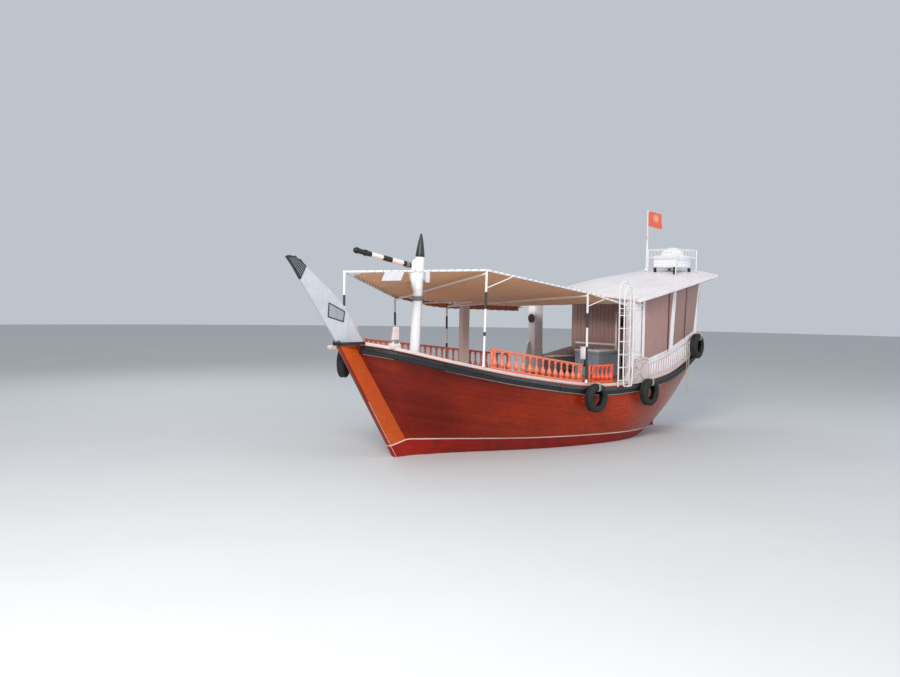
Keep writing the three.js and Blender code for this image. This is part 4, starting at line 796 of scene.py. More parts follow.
class Palette:
    """The object's materials, each made when a piece first asks for it."""

    # What makes each material, its name and colour, and then the other values that function takes.
    recipes = {
        "hull": (hull_paint, "Varnished planking", "varnish", "varnish_dark"),
        # The stem's varnish is the planking's, painted a brighter orange as sunlight on its upright face.
        "stem": (hull_paint, "Varnished timber", (210, 92, 30), (196, 78, 22)),
        "inside": (painted_timber, "Orange paint inside", (196, 92, 60), 0.5, 0.4, 0.6, ALONG_HULL,
                   (110, 60, 40)),
        "deck": (deck_planks, "Deck planks", (150, 118, 92)),
        "black": (painted_timber, "Black rail paint", "rail_black", 0.38, 0.42, 0.3, ALONG_HULL, (96, 84, 74),
                  1.5),
        "black upright": (painted_timber, "Black top paint", (30, 40, 44), 0.42, 0.25, 0.3, UPRIGHT,
                          (120, 84, 60), 1.4),
        "rose": (painted_timber, "Rose-white paint", "rose", 0.42, 0.32, 0.55),
        "rose upright": (painted_timber, "Rose-white upright paint", "rose", 0.42, 0.25, 0.6, UPRIGHT),
        "white": (painted_timber, "White paint", "white", 0.4, 0.2, 0.45),
        "white upright": (painted_timber, "White upright paint", "white", 0.4, 0.2, 0.5, UPRIGHT),
        "mast white": (painted_timber, "Mast paint", (236, 240, 246), 0.4, 0.2, 0.5, UPRIGHT),
        "board": (painted_timber, "Stem board paint", (190, 193, 200), 0.42, 0.15, 0.5),
        "orange": (painted_timber, "Orange rail paint", "orange", 0.38, 0.3, 0.35, UPRIGHT, (128, 48, 30)),
        # The gate's paint is the balustrade's orange, redder as painted sunlight.
        "orange deep": (painted_timber, "Orange gate paint", "gate", 0.38, 0.3, 0.3, UPRIGHT, (120, 36, 22)),
        "mauve": (painted_timber, "Mauve panel paint", "panel", 0.5, 0.25, 0.7, UPRIGHT, (120, 84, 60),
                  (0.7, 0.62, 0.6)),
        "grey": (painted_timber, "Grey casing paint", (142, 154, 166), 0.45, 0.3, 0.4),
        "plate": (painted_timber, "Blank plate paint", (150, 154, 162), 0.5, 0.1, 0.6),
        "pipe": (painted_pipe, "White enamelled pipe", (236, 232, 232)),
        "pipe dark": (painted_pipe, "Dark enamelled pipe", (52, 52, 54)),
        # The canvas is its tan brightened as painted light shining through the cloth.
        "canvas": (cloth, "Tan awning canvas", "canvas"),
        # The valance's brown is the canvas drawn darker as painted shade, for the line of shade along the
        # starboard edge.
        "canvas edge": (cloth, "Brown canvas edge", (176, 112, 80)),
        "white cloth": (cloth, "White hanging cloth", (196, 198, 206), 1400.0),
        "flag": (cloth, "Flag cloth", "flag", 1500.0, ((0.15, 0.34), (0.13, 0.16), (240, 196, 170))),
        "rope": (laid_rope, "Pale rope", (206, 200, 184)),
        "grey rope": (laid_rope, "Grey lacing", (150, 156, 160)),
        "rubber": (weathered_rubber, "Weathered rubber", "rubber"),
        "bronze": (bare_metal, "Cast bronze", (168, 128, 64)),
        "iron": (bare_metal, "Painted iron", (70, 74, 76), 0.5, (112, 66, 44)),
        "plastic": (moulded_plastic, "Bleached tank plastic", (242, 242, 244)),
        "clock face": (moulded_plastic, "Dark red clock", (84, 40, 36)),
    }
    made = {}

    @classmethod
    def get(cls, name):
        if name not in cls.made:
            build, title, color, *values = cls.recipes[name]
            cls.made[name] = build(title, hue(color), *values)
        return cls.made[name]


def finish_node(paint, *nodes):
    """Gives solids of the frame a material of the palette."""
    for name in nodes:
        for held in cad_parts[name].material_slots:
            held.material = Palette.get(paint)


# Shapes that several pieces share.

def corners_of(node):
    """The lowest and highest corners of a solid of the frame, as arrays."""
    return [np.array(corner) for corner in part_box(node)]


def cap_middle(aft):
    """Half breadth of the middle of the cap rail."""
    return sheer(aft)[0] - 0.055 * np.hypot(1, widening(aft))


def cap_top(aft):
    return sheer(aft)[1] + 0.07


def laid_section(path, radius, lay=6.0, strands=3, sides=12):
    """Sections of a laid rope: a circle with a swelling for each strand, turned by the distance
    along the path over the lay, which is a number of diameters."""
    step = np.linalg.norm(np.diff(path, axis=0), axis=1)
    run = np.concatenate([[0], np.cumsum(step)])[:, None]
    angle = np.linspace(0, 2 * np.pi, sides, endpoint=False)[None]
    swell = 0.9 + 0.1 * np.cos(strands * (angle - run / (lay * 2 * radius) * 2 * np.pi))
    return radius * swell[..., None] * np.stack([np.cos(angle), np.sin(angle)], -1)


def rope_on(shell, path, radius, slot=0, step=None):
    """Adds a laid rope along a path."""
    path = even_path(path, step or radius * 1.6)
    return shell.tube(swept(path, laid_section(path, radius)), slot=slot)


def turns_round(centre, axis, wide, deep, count, pitch, each=28):
    """A helix round an axis: an ellipse of half sizes wide and deep that climbs one pitch a turn."""
    axis = unit(np.asarray(axis, float))
    first = unit(np.cross(axis, [0, 1, 0] if abs(axis[1]) < 0.9 else [1, 0, 0]))
    second = np.cross(axis, first)
    angle = np.linspace(0, 2 * np.pi * count, int(each * count) + 1)[:, None]
    climb = (angle / (2 * np.pi) - count / 2) * pitch
    ring = wide * np.cos(angle) * first + deep * np.sin(angle) * second
    return np.asarray(centre, float) + ring + climb * axis


def edge_along(aft, side, section):
    """A section of [away, rise] rows carried along the sheer, kept clear of the stem."""
    section = np.asarray(section, float)
    points = along_sheer(np.asarray(aft)[:, None], side, section[None, :, 0], section[None, :, 1])
    points[..., 1] = side * np.maximum(side * points[..., 1], 0.0712)
    return points


class DHOW_OT_stage(bpy.types.Operator):
    """Pale floor at the waterline, soft lights and the camera at the photograph's angle"""
    bl_idname = "dhow.stage"
    bl_label = "Stage"

    def execute(self, context):
        floor_radius = 90
        floor = Shell()
        floor.face(np.insert(round_section(floor_radius, 48), 2, 0, axis=1))
        g, finish = start_material("Pale floor", Roughness=0.85)
        tone = g.mix(g.noise(g.place(), 0.4, 3.0), shade((196, 198, 200)), shade((204, 204, 204)))
        plane = bpy.data.objects.new("floor", bpy.data.meshes.new("floor"))
        plane.data.from_pydata(np.concatenate(floor.points).tolist(), [], floor.faces)
        plane.data.materials.append(finish(tone))
        context.scene.collection.objects.link(plane)
        world = bpy.data.worlds.new("Studio")
        world.use_nodes = True
        sky = world.node_tree.nodes["Background"].inputs
        sky["Color"].default_value = (0.86, 0.92, 1.0, 1)
        sky["Strength"].default_value = 0.6
        context.scene.world = world
        context.scene.view_settings.view_transform = "Standard"
        for name, place, target, wide, power, color in (
                ("key", (19, 13, 14), (0, 0, 1.5), 7.0, 4700, (1.0, 0.97, 0.93)),
                ("fill", (-12, 16, 9), (-2, 0, 1), 10.0, 900, (0.9, 0.95, 1.0)),
                ("back", (2, -18, 14), (0, 0, 2), 9.0, 900, (0.9, 0.95, 1.0))):
            lamp = bpy.data.lights.new(name, "AREA")
            lamp.size, lamp.energy, lamp.color = wide, power, color
            light = bpy.data.objects.new(name, lamp)
            light.location = place
            light.rotation_euler = (Vector(target) - Vector(place)).to_track_quat("-Z", "Y").to_euler()
            context.scene.collection.objects.link(light)
        lens = bpy.data.cameras.new("camera")
        lens.lens = lens.sensor_width = 36
        lens.sensor_fit = "HORIZONTAL"
        lens.clip_end = 400
        camera = bpy.data.objects.new("camera", lens)
        camera.location = (15.0, 15.1, 3.3)
        aim = Vector((-0.643, -0.766, -0.0428)).to_track_quat("-Z", "Y")
        camera.rotation_euler = (aim @ Quaternion((0, 0, 1), math.radians(0.81))).to_euler()
        context.scene.collection.objects.link(camera)
        context.scene.camera = camera
        return {"FINISHED"}


# The bight over the rail, in the part's own numbers: share of the way to the middle, away from the
# sheer, share of the fall.
ROPE = {"radius": 0.01, "fore": 8.0, "aft": 8.14, "rise": 0.47, "away": 0.096, "fall": 0.76}
ROPE_HALF = [(0, 0.001, 0), (0, 0.052, -0.004), (0, 0.096, 0.05), (0.1, 0.096, 0.4), (0.3, 0.096, 0.8)]


class DHOW_OT_stern_rope(bpy.types.Operator):
    """Rope that hangs in a bight over the rub rail at the port quarter"""
    bl_idname = "dhow.stern_rope"
    bl_label = "Stern rope"

    def execute(self, context):
        middle = (ROPE["fore"] + ROPE["aft"]) / 2
        across = unit(np.array([widening(middle, 0.01), 1, 0]))

        def place(aft, away, rise):
            out, up = sheer(aft)
            return at(aft, out, up + rise) + across * away

        def half(start):
            return [place(lerp(start, middle, share), away, lerp(ROPE["rise"], -ROPE["fall"], drop))
                    for share, away, drop in ROPE_HALF]

        knots = half(ROPE["fore"]) + [place(middle, ROPE["away"], -ROPE["fall"])] + half(ROPE["aft"])[::-1]
        path = even_path(rounded(knots, 24), 0.012)
        rope = Shell()
        rope.tube(swept(path, laid_section(path, ROPE["radius"])))
        piece = rope.make("stern_rope_laid", "rope", "stern_rope", sharp=80)
        return {"FINISHED"}


class DHOW_OT_planking(bpy.types.Operator):
    """Carvel planking of both sides and the transom, and the faces inside the two deck wells"""
    bl_idname = "dhow.planking"
    bl_label = "Planking"

    def execute(self, context):
        strakes, seam = sizes().strakes, sizes().seam
        across = np.array([0, 0.05, 0.5, 0.95])
        v = np.append((np.arange(strakes)[:, None] + across).ravel() / strakes, 1.0)
        inset = np.append(np.tile([seam, 0, -0.0015, 0], strakes), seam)
        aft, out, up = hull_point(np.linspace(0, len(STATIONS) - 1, 260)[:, None], v[None])
        skin = Shell()
        for side in SIDES.values():
            skin.grid(at(aft, side * (out - inset), up), flip=side > 0,
                      mark=np.broadcast_to(v * strakes, aft.shape))
        shares = np.linspace(1, -1, 9)
        stern = at(aft[-1][:, None], (out[-1] - inset)[:, None] * shares, up[-1][:, None])
        skin.grid(stern, flip=True, mark=np.broadcast_to((v * strakes)[:, None] + 30, stern.shape[:2]))
        for fore, back in ((-1.08, WELL["fore"]), (POOP["aft"], 8.8)):
            here = np.linspace(fore, back, 40)[:, None]
            rim, rise = sheer(here)
            skin.grid(at(here, rim * np.array([1, -1.0]), rise), flip=True, slot=1)
        for well in (WELL, POOP):
            here = np.linspace(well["fore"], well["aft"], 80)
            rim, rise = sheer(here)
            low = hull_out(here, well["up"]) - well["wall"]
            for side in SIDES.values():
                rows = np.stack([at(here, side * rim, rise), at(here, side * (rim - well["wall"]), rise),
                                 at(here, side * low, well["up"])], 1)
                skin.grid(rows, flip=side < 0, slot=1)
            for end, turn in ((0, False), (-1, True)):
                ring = at(here[end], [low[end], rim[end] - well["wall"], well["wall"] - rim[end], -low[end]],
                          [well["up"], rise[end], rise[end], well["up"]])
                if well is POOP and end == 0:
                    # The poop's fore end is only the step between the two decks.
                    ring[1:3, 2] = POOP["up"]
                    ring[[0, 3], 2] = WELL["up"]
                if not (well is WELL and end == -1):
                    skin.face(ring, flip=turn, slot=1)
        fore, back, half, low = 6.04, 6.76, 0.36, 0.15
        corners = at([fore, back, back, fore], [half, half, -half, -half], low)
        lifted = corners + [0, 0, POOP["up"] - low]
        skin.grid(np.stack([corners, lifted]), around=True, flip=True, slot=1)
        skin.face(corners, slot=1)
        skin.make("planking", "hull, inside", "hull", sharp=50, solid=False)
        return {"FINISHED"}


class DHOW_OT_keel(bpy.types.Operator):
    """Stem, keel and post, with the capping strip down the fore edge of the stem and painted highlights along
    its lower edges
    """
    bl_idname = "dhow.keel"
    bl_label = "Keel and stem"

    def execute(self, context):
        # The stem, keel and post take the varnish painted brighter as sunlight.
        finish_node("stem", "backbone")
        up = np.linspace(2.385, -0.42, 60)
        strip = Shell()
        strip.strip(at(-0.6 * up - 0.006, 0, up), 0.13, 0.03, 0.009, (1, 0, 0))
        strip.make("stem_capping", "hull")
        # Painted highlight: thin rose-white lines down the lower fore edges of the stem stand in for light on
        # those edges.
        lines = Shell()
        for side in SIDES.values():
            path = at(-0.6 * up - 0.004, side * 0.069, up)
            lines.strip(path[25:], 0.006, 0.010, 0.003, (1, 0, 0))
        lines.make("stem_edge_painted_highlights", "rose")
        return {"FINISHED"}


class DHOW_OT_decks(bpy.types.Operator):
    """Laid decks with covering boards, and the ladder step at the break of the poop"""
    bl_idname = "dhow.decks"
    bl_label = "Decks"

    def execute(self, context):
        finish_node("deck", "main_deck", "poop_deck", "foredeck")
        trim = Shell()
        here = np.linspace(-0.45, 0.86, 60)
        for side in SIDES.values():
            path = at(here, side * np.maximum(cap_middle(here) - 0.095, 0.02), sheer(here)[1] + 0.044)
            trim.strip(path, 0.05, 0.025, 0.006)
        levels = np.linspace(1.33, 1.92, 8)
        half = np.array([hull_out(0.915, level) for level in levels]) - WELL["wall"] - 0.006
        ring = np.append(half, -half[::-1])
        face = [at(aft, ring, np.append(levels, levels[::-1])) for aft in (0.93, 0.9)]
        trim.tube(np.stack(face))
        trim.bar(at(5.585, 1.5, 1.40), at(5.585, -1.5, 1.40), 0.024, 0.09, 0.006)
        trim.make("deck_coamings", "inside")
        return {"FINISHED"}


RUB_SECTION = [
    (-0.02, -0.022), (0.052, -0.020), (0.061, -0.030), (0.066, -0.084), (0.058, -0.089), (0.058, -0.099),
    (0.067, -0.104), (0.064, -0.158), (0.054, -0.169), (-0.06, -0.170),
]


class DHOW_OT_rails(bpy.types.Operator):
    """Black rub rails in scarfed lengths, painted cap rails, and the narrow line under the rub rail"""
    bl_idname = "dhow.rails"
    bl_label = "Rails"

    def execute(self, context):
        joints = [-1.0, -0.58, *np.arange(0.28, 8.3, sizes().scarf), 8.69]
        for name, side in SIDES.items():
            rub = Shell()
            for k, (fore, back) in enumerate(zip(joints[:-1], joints[1:])):
                here = np.linspace(fore + 0.002, back - 0.002, max(8, int((back - fore) * 16)))
                step = (k % 2) * 0.007
                rub.tube(edge_along(here, side, np.array(RUB_SECTION) + [[step, -step]]), flip=side > 0)
            rub.make(f"rub_rail_{name}_lengths", "black", f"rub_rail_{name}")
            cap = Shell()
            here = np.linspace(-0.96, 5.56, 130)
            cap.tube(edge_along(here, side, box_section(0.13, 0.0695, 0.014) + [[-0.055, 0.0354]]),
                     flip=side > 0)
            cap.make(f"cap_rail_{name}_board", "rose", f"cap_rail_{name}")
            s = np.linspace(0.15, len(STATIONS) - 1.05, 200)
            rows = station_rows(s)
            aft, out, up = hull_point(s, 1 - 0.188 / (rows[:, 3] - rows[:, 1]))
            bead = Shell()
            bead.strip(at(aft, side * (out + 0.004), up), 0.02, 0.026, 0.008)
            bead.make(f"rail_bead_{name}", "rose")
            knee = Shell()
            knee.bar(at(-1.45, side * 0.062, 2.40),
                     at(-0.97, side * (sheer(-0.97)[0] + 0.02), cap_top(-0.97) - 0.02), 0.05, 0.06, 0.008)
            knee.lathe([[0, 0], [0.03, 0.002], [0.045, 0.03], [0.045, 0.07], [0.03, 0.098], [0, 0.1]],
                       at(-1.46, side * 0.062, 2.36), None, 16)
            knee.make(f"stem_knee_{name}", "black")
        return {"FINISHED"}


BOARD_EDGE = [(-1.44, 2.3905), (-2.31, 3.655)]
BOARD_BACK = [(-2.175, 3.915), (-2.04, 3.80), (-1.86, 3.655), (-1.58, 3.42), (-1.33, 3.18), (-1.14, 2.93),
              (-1.01, 2.70), (-0.80, 2.3905)]
TIP_OUTLINE = [(-2.3104, 3.6552), (-2.47, 3.90), (-2.62, 4.09), (-2.55, 4.112), (-2.47, 4.095),
               (-2.42, 4.105), (-2.36, 4.05), (-2.30, 4.04), (-2.235, 3.965), (-2.1754, 3.9152)]
# The tip's outermost flutes: foot aft, foot up, head aft, head up.
FLUTES = np.array([[-2.315, 3.69, -2.575, 4.055], [-2.195, 3.92, -2.40, 4.07]])
PLATE_CORNERS = [(-1.665, 3.21), (-1.30, 3.04), (-1.33, 2.84), (-1.68, 2.94)]


class DHOW_OT_stem_board(bpy.types.Operator):
    """White board above the stem with its dark fluted tip and a blank framed plate, and the bow timber"""
    bl_idname = "dhow.stem_board"
    bl_label = "Stem board"

    def execute(self, context):
        board = Shell()
        board.plate([*BOARD_EDGE, *rounded(BOARD_BACK, 4)], 0, 0.056, 0.008)
        board.make("stem_board", "board", "stemhead_board")
        tip = Shell()
        tip.plate(TIP_OUTLINE, 0, 0.086, 0.012)
        for side in SIDES.values():
            for share in np.linspace(0.15, 0.85, 5):
                aft, up, head_aft, head_up = lerp(*FLUTES, share)
                tip.rod(at(aft, side * 0.043, up), at(head_aft, side * 0.043, head_up), 0.0055, 8, 1, 0.003)
        tip.make("stem_tip", "black upright, plate", "stemhead_tip")
        corners = np.array(PLATE_CORNERS)
        plates = Shell()
        for side in SIDES.values():
            plates.plate(corners, side * 0.031, 0.008, 0.002)
            for a, b in zip(corners, np.roll(corners, -1, 0)):
                plates.bar(at(a[0], side * 0.034, a[1]), at(b[0], side * 0.034, b[1]), 0.014, 0.02, 0.003,
                           slot=1)
                plates.lathe([[0, 0], [0.007, 0.0], [0.006, 0.003], [0, 0.004]], at(a[0], side * 0.041, a[1]),
                             at(a[0], side * 0.06, a[1]), 10, 1)
        plates.make("blank_plates", "plate, black upright")
        timber = Shell()
        timber.lathe(
            [[0.05, 0], [0.05, 0.03], [0.046, 0.05], [0.05, 0.07], [0.05, 0.41], [0.044, 0.44],
             [0.03, 0.4495]],
            at(-1.31, -0.0704, 2.3), at(-1.31, -1, 2.3))
        rope_on(timber, turns_round(at(-1.31, -0.30, 2.3), (0, 1, 0), 0.055, 0.055, 4, 0.018), 0.008, 1)
        timber.make("bow_timber_turned", "rose, rope", "bow_timber")
        return {"FINISHED"}


BOLLARD_ROWS = [(0, 0.115, 0), (0.055, 0.117, 0), (0.075, 0.112, 0), (0.13, 0.083, 0.004), (0.2, 0.074, 0.01),
                (0.33, 0.063, 0.02), (0.40, 0.062, 0.024), (0.43, 0.045, 0.026)]


class DHOW_OT_bollards(bpy.types.Operator):
    """Tapered mooring bollards on the cap rails, with turns of dark rope at their feet"""
    bl_idname = "dhow.bollards"
    bl_label = "Bollards"

    def execute(self, context):
        for name, side in SIDES.items():
            low, _ = corners_of(f"bollard_{name}")
            rise, half, back = rounded(BOLLARD_ROWS, 4).T
            ring = box_section(2, 1.1, 0.18, 4)
            middle = side * cap_middle(-0.56)
            body = Shell()
            aft, out = (half[:, None] * ring[:, k] for k in (0, 1))
            body.tube(at((-0.56 + back)[:, None] + aft, middle + out, low[2] + rise[:, None]))
            body.lathe([[0, 0], [0.02, 0], [0.014, 0.006], [0, 0.01]], at(-0.534, middle, low[2] + 0.428),
                       None, 12)
            body.make(f"bollard_{name}_shaped", "rose upright", f"bollard_{name}")
            rope = Shell()
            rope_on(rope, turns_round(at(-0.556, middle, low[2] + 0.135), (0, 0, 1), 0.094, 0.057, 4, 0.019),
                    0.009)
            rope.make(f"bollard_{name}_turns", "grey rope")
        return {"FINISHED"}


def mast_aft(up):
    return lerp(0.48, 0.64, (up - 1.9) / 2.8)


def mast_point(up):
    """The middle of the raked mast at a height."""
    return at(mast_aft(up), 0, up)


# The cheek: height that its distance aft is read at, distance from the mast's middle there, height.
CHEEK = [(3.4, -0.06, 3.4), (3.5, -0.12, 3.5), (3.6, -0.175, 3.62), (3.85, -0.192, 3.85), (4.1, -0.186, 4.08),
         (4.15, -0.14, 4.15), (4.15, 0, 4.15), (3.4, 0, 3.4)]
SPAR_HEEL, SPAR_TIP, SPAR_OUT = np.array([0.86, 3.96]), np.array([-0.95, 4.29]), -0.165
# Shares of the way from tip to heel where the paint changes, dark first.
SPAR_BANDS = [0, 0.23, 0.39, 0.52, 0.68, 0.80, 1]


class DHOW_OT_mast_and_spar(bpy.types.Operator):
    """White mast with its cheek and dark pointed head, and the striped spar beside it"""
    bl_idname = "dhow.mast_and_spar"
    bl_label = "Mast and spar"

    def execute(self, context):
        low, _ = corners_of("mast")
        mast = Shell()
        foot, neck = mast_point(low[2] + 0.01) - [0, 0, 0.005], mast_point(4.2)
        tall = np.linalg.norm(mast_point(4.199) - foot)
        mast.lathe([[0.108, 0], [0.1075, 0.5], [0.104, 1.2], [0.1, 1.8], [0.097, tall]], foot, neck, 40)
        mast.plate([(mast_aft(read) + shift, up) for read, shift, up in CHEEK], 0, 0.09, 0.014)
        band = [[0.1005, 0], [0.106, 0.006], [0.106, 0.05], [0.1005, 0.056]]
        mast.lathe(band, mast_point(3.72), neck, 40, 1)
        mast.lathe([[0.112, 0], [0.132, 0], [0.132, 0.03], [0.112, 0.05]], foot, neck, 40, 1)
        mast.make("mast_pole", "mast white, pipe", "mast")
        cone = Shell()
        cone.lathe([[0.094, 0.0005], [0.0975, 0.02], [0.094, 0.06], [0.084, 0.15], [0.068, 0.25],
                    [0.05, 0.35], [0.03, 0.45], [0.014, 0.5]], neck, mast_point(4.7), 32)
        cone.make("mast_cone", "black upright", "mast_top")
        lashing = Shell()
        rope_on(lashing, turns_round(mast_point(3.32), (0, 0, 1), 0.115, 0.115, 6, 0.017), 0.008)
        lashing.make("mast_lashing", "grey rope")

        def along(share):
            aft, up = lerp(SPAR_TIP, SPAR_HEEL, share)
            return at(aft, SPAR_OUT, up)

        spar = Shell()
        tip_radius, heel_radius = 0.0525, 0.0575
        for k, (a, b) in enumerate(zip(SPAR_BANDS[:-1], SPAR_BANDS[1:])):
            thin, thick = lerp(tip_radius, heel_radius, a), lerp(tip_radius, heel_radius, b)
            spar.rod(along(a), along(b), thin, 24, 1 - k % 2, thick)
        for share in (0.035, 0.15):
            spar.lathe([[0.05, -0.035], [0.062, -0.028], [0.068, 0], [0.062, 0.028], [0.05, 0.035]],
                       along(share), along(1), slot=1)
        pin_aft = mast_aft(4.02)
        pin_up = along((pin_aft - SPAR_TIP[0]) / (SPAR_HEEL[0] - SPAR_TIP[0]))[2]
        spar.rod(at(pin_aft, SPAR_OUT, pin_up), at(pin_aft, -0.06, pin_up), 0.0215, 20, 1)
        rope_on(spar, turns_round(along(0.745), along(0) - along(1), 0.063, 0.063, 5, 0.016), 0.007, 2)
        spar.make("spar_striped", "white, black, grey rope", "spar", body="spar_body")
        return {"FINISHED"}


# The awning. Points are (aft, out, up), as in the part's source.
AWNING = {
    "apex": (-1.29, 0, 3.83),
    "portFore": (1.08, 1.60, 3.91), "portMiddle": (3.96, 1.765, 3.50), "portAft": (5.37, 1.74, 3.23),
    "starboardFore": (1.15, -1.61, 3.35), "starboardMiddle": (2.84, -1.765, 3.20),
    "starboardAft": (5.37, -1.74, 3.14),
}
PIPE = 0.024
EDGES = {PORT: ["apex", "portFore", "portMiddle", "portAft"],
         STARBOARD: ["apex", "starboardFore", "starboardMiddle", "starboardAft"]}
# Ends and radius of each brace.
BRACES = [((2.0, -1.66, 3.22), (2.55, -0.5, 3.26), 0.014), ((2.84, -1.72, 3.16), (2.55, -0.5, 3.26), 0.014),
          ((1.08, 1.6, 3.55), (1.75, 1.64, 3.79), 0.012), ((3.96, 1.765, 3.2), (4.55, 1.755, 3.37), 0.012)]
# Heights where a post's paint changes, from its head down, white first.
POST_BANDS = {
    "portFore": [3.91, 3.47, 3.13, 2.66, 2.58], "portMiddle": [3.50, 3.05, 2.73, 2.30],
    "starboardFore": [3.35, 3.0, 2.7, 2.3], "starboardMiddle": [3.20, 2.9, 2.6, 2.25],
}


def edge_point(side, share):
    """Points of the awning's edge pipe, at shares of its length from the apex to the cabin."""
    table = np.array([AWNING[name] for name in EDGES[side]])
    run = np.concatenate([[0], np.cumsum(np.linalg.norm(np.diff(table, axis=0), axis=1))])
    run = run / run[-1]
    return np.stack([np.interp(share, run, table[:, k]) for k in range(3)], -1)


def edge_at(side, aft):
    """Points of the awning's edge pipe at distances aft."""
    table = np.array([AWNING[name] for name in EDGES[side]])
    return np.stack([aft, *(np.interp(aft, table[:, 0], table[:, k]) for k in (1, 2))], -1)


class DHOW_OT_awning_frame(bpy.types.Operator):
    """Enamelled pipe frame of the awning with its banded posts, sleeves at the corners and braces"""
    bl_idname = "dhow.awning_frame"
    bl_label = "Awning frame"

    def execute(self, context):
        pipes = Shell()
        for name, bands in POST_BANDS.items():
            aft, out, _ = AWNING[name]
            side = 1 if out > 0 else -1
            foot_up = cap_top(aft)
            foot = at(aft, side * (cap_middle(aft) + 0.053), foot_up - 0.001)
            head = at(*AWNING[name])
            shares = (np.array([*bands, foot_up]) - foot_up) / (bands[0] - foot_up)
            for k, (high, low) in enumerate(zip(shares[:-1], shares[1:])):
                pipes.rod(lerp(foot, head, low), lerp(foot, head, high), PIPE * (1, 1.03)[k % 2], 20, k % 2)
            pipes.lathe([[0.024, 0], [0.043, 0], [0.043, 0.008], [0.028, 0.014], [0.028, 0.07],
                         [0.024, 0.075]],
                        foot, head, 20)
        stem_head = at(*AWNING["apex"])[0]
        front = [3.828, 3.37, 3.15, 3.102]
        for k, (high, low) in enumerate(zip(front[:-1], front[1:])):
            pipes.rod([stem_head, 0, low], [stem_head, 0, high], PIPE, 20, k % 2)
        runs = [(a, b, 0) for names in EDGES.values() for a, b in zip(names[:-1], names[1:])]
        runs += [("portFore", "starboardFore", 0.06), ("portMiddle", "starboardMiddle", 0.06)]
        for a, b, drop in runs:
            pipes.rod(at(*AWNING[a]) - [0, 0, drop], at(*AWNING[b]) - [0, 0, drop], PIPE, 20)
        for spot in AWNING.values():
            pipes.lathe([[0.0, -0.029], [0.012, -0.027], [0.022, -0.019], [0.0275, -0.008], [0.0275, 0.008],
                         [0.022, 0.019], [0.012, 0.027], [0.0, 0.029]], at(*spot), None, 20)
        pipes.make("awning_pipes", "pipe, pipe dark", "awning_frame")
        braces = Shell()
        for start, end, radius in BRACES:
            braces.rod(at(*start), at(*end), radius, 12)
        braces.make("awning_braces", "pipe")
        return {"FINISHED"}


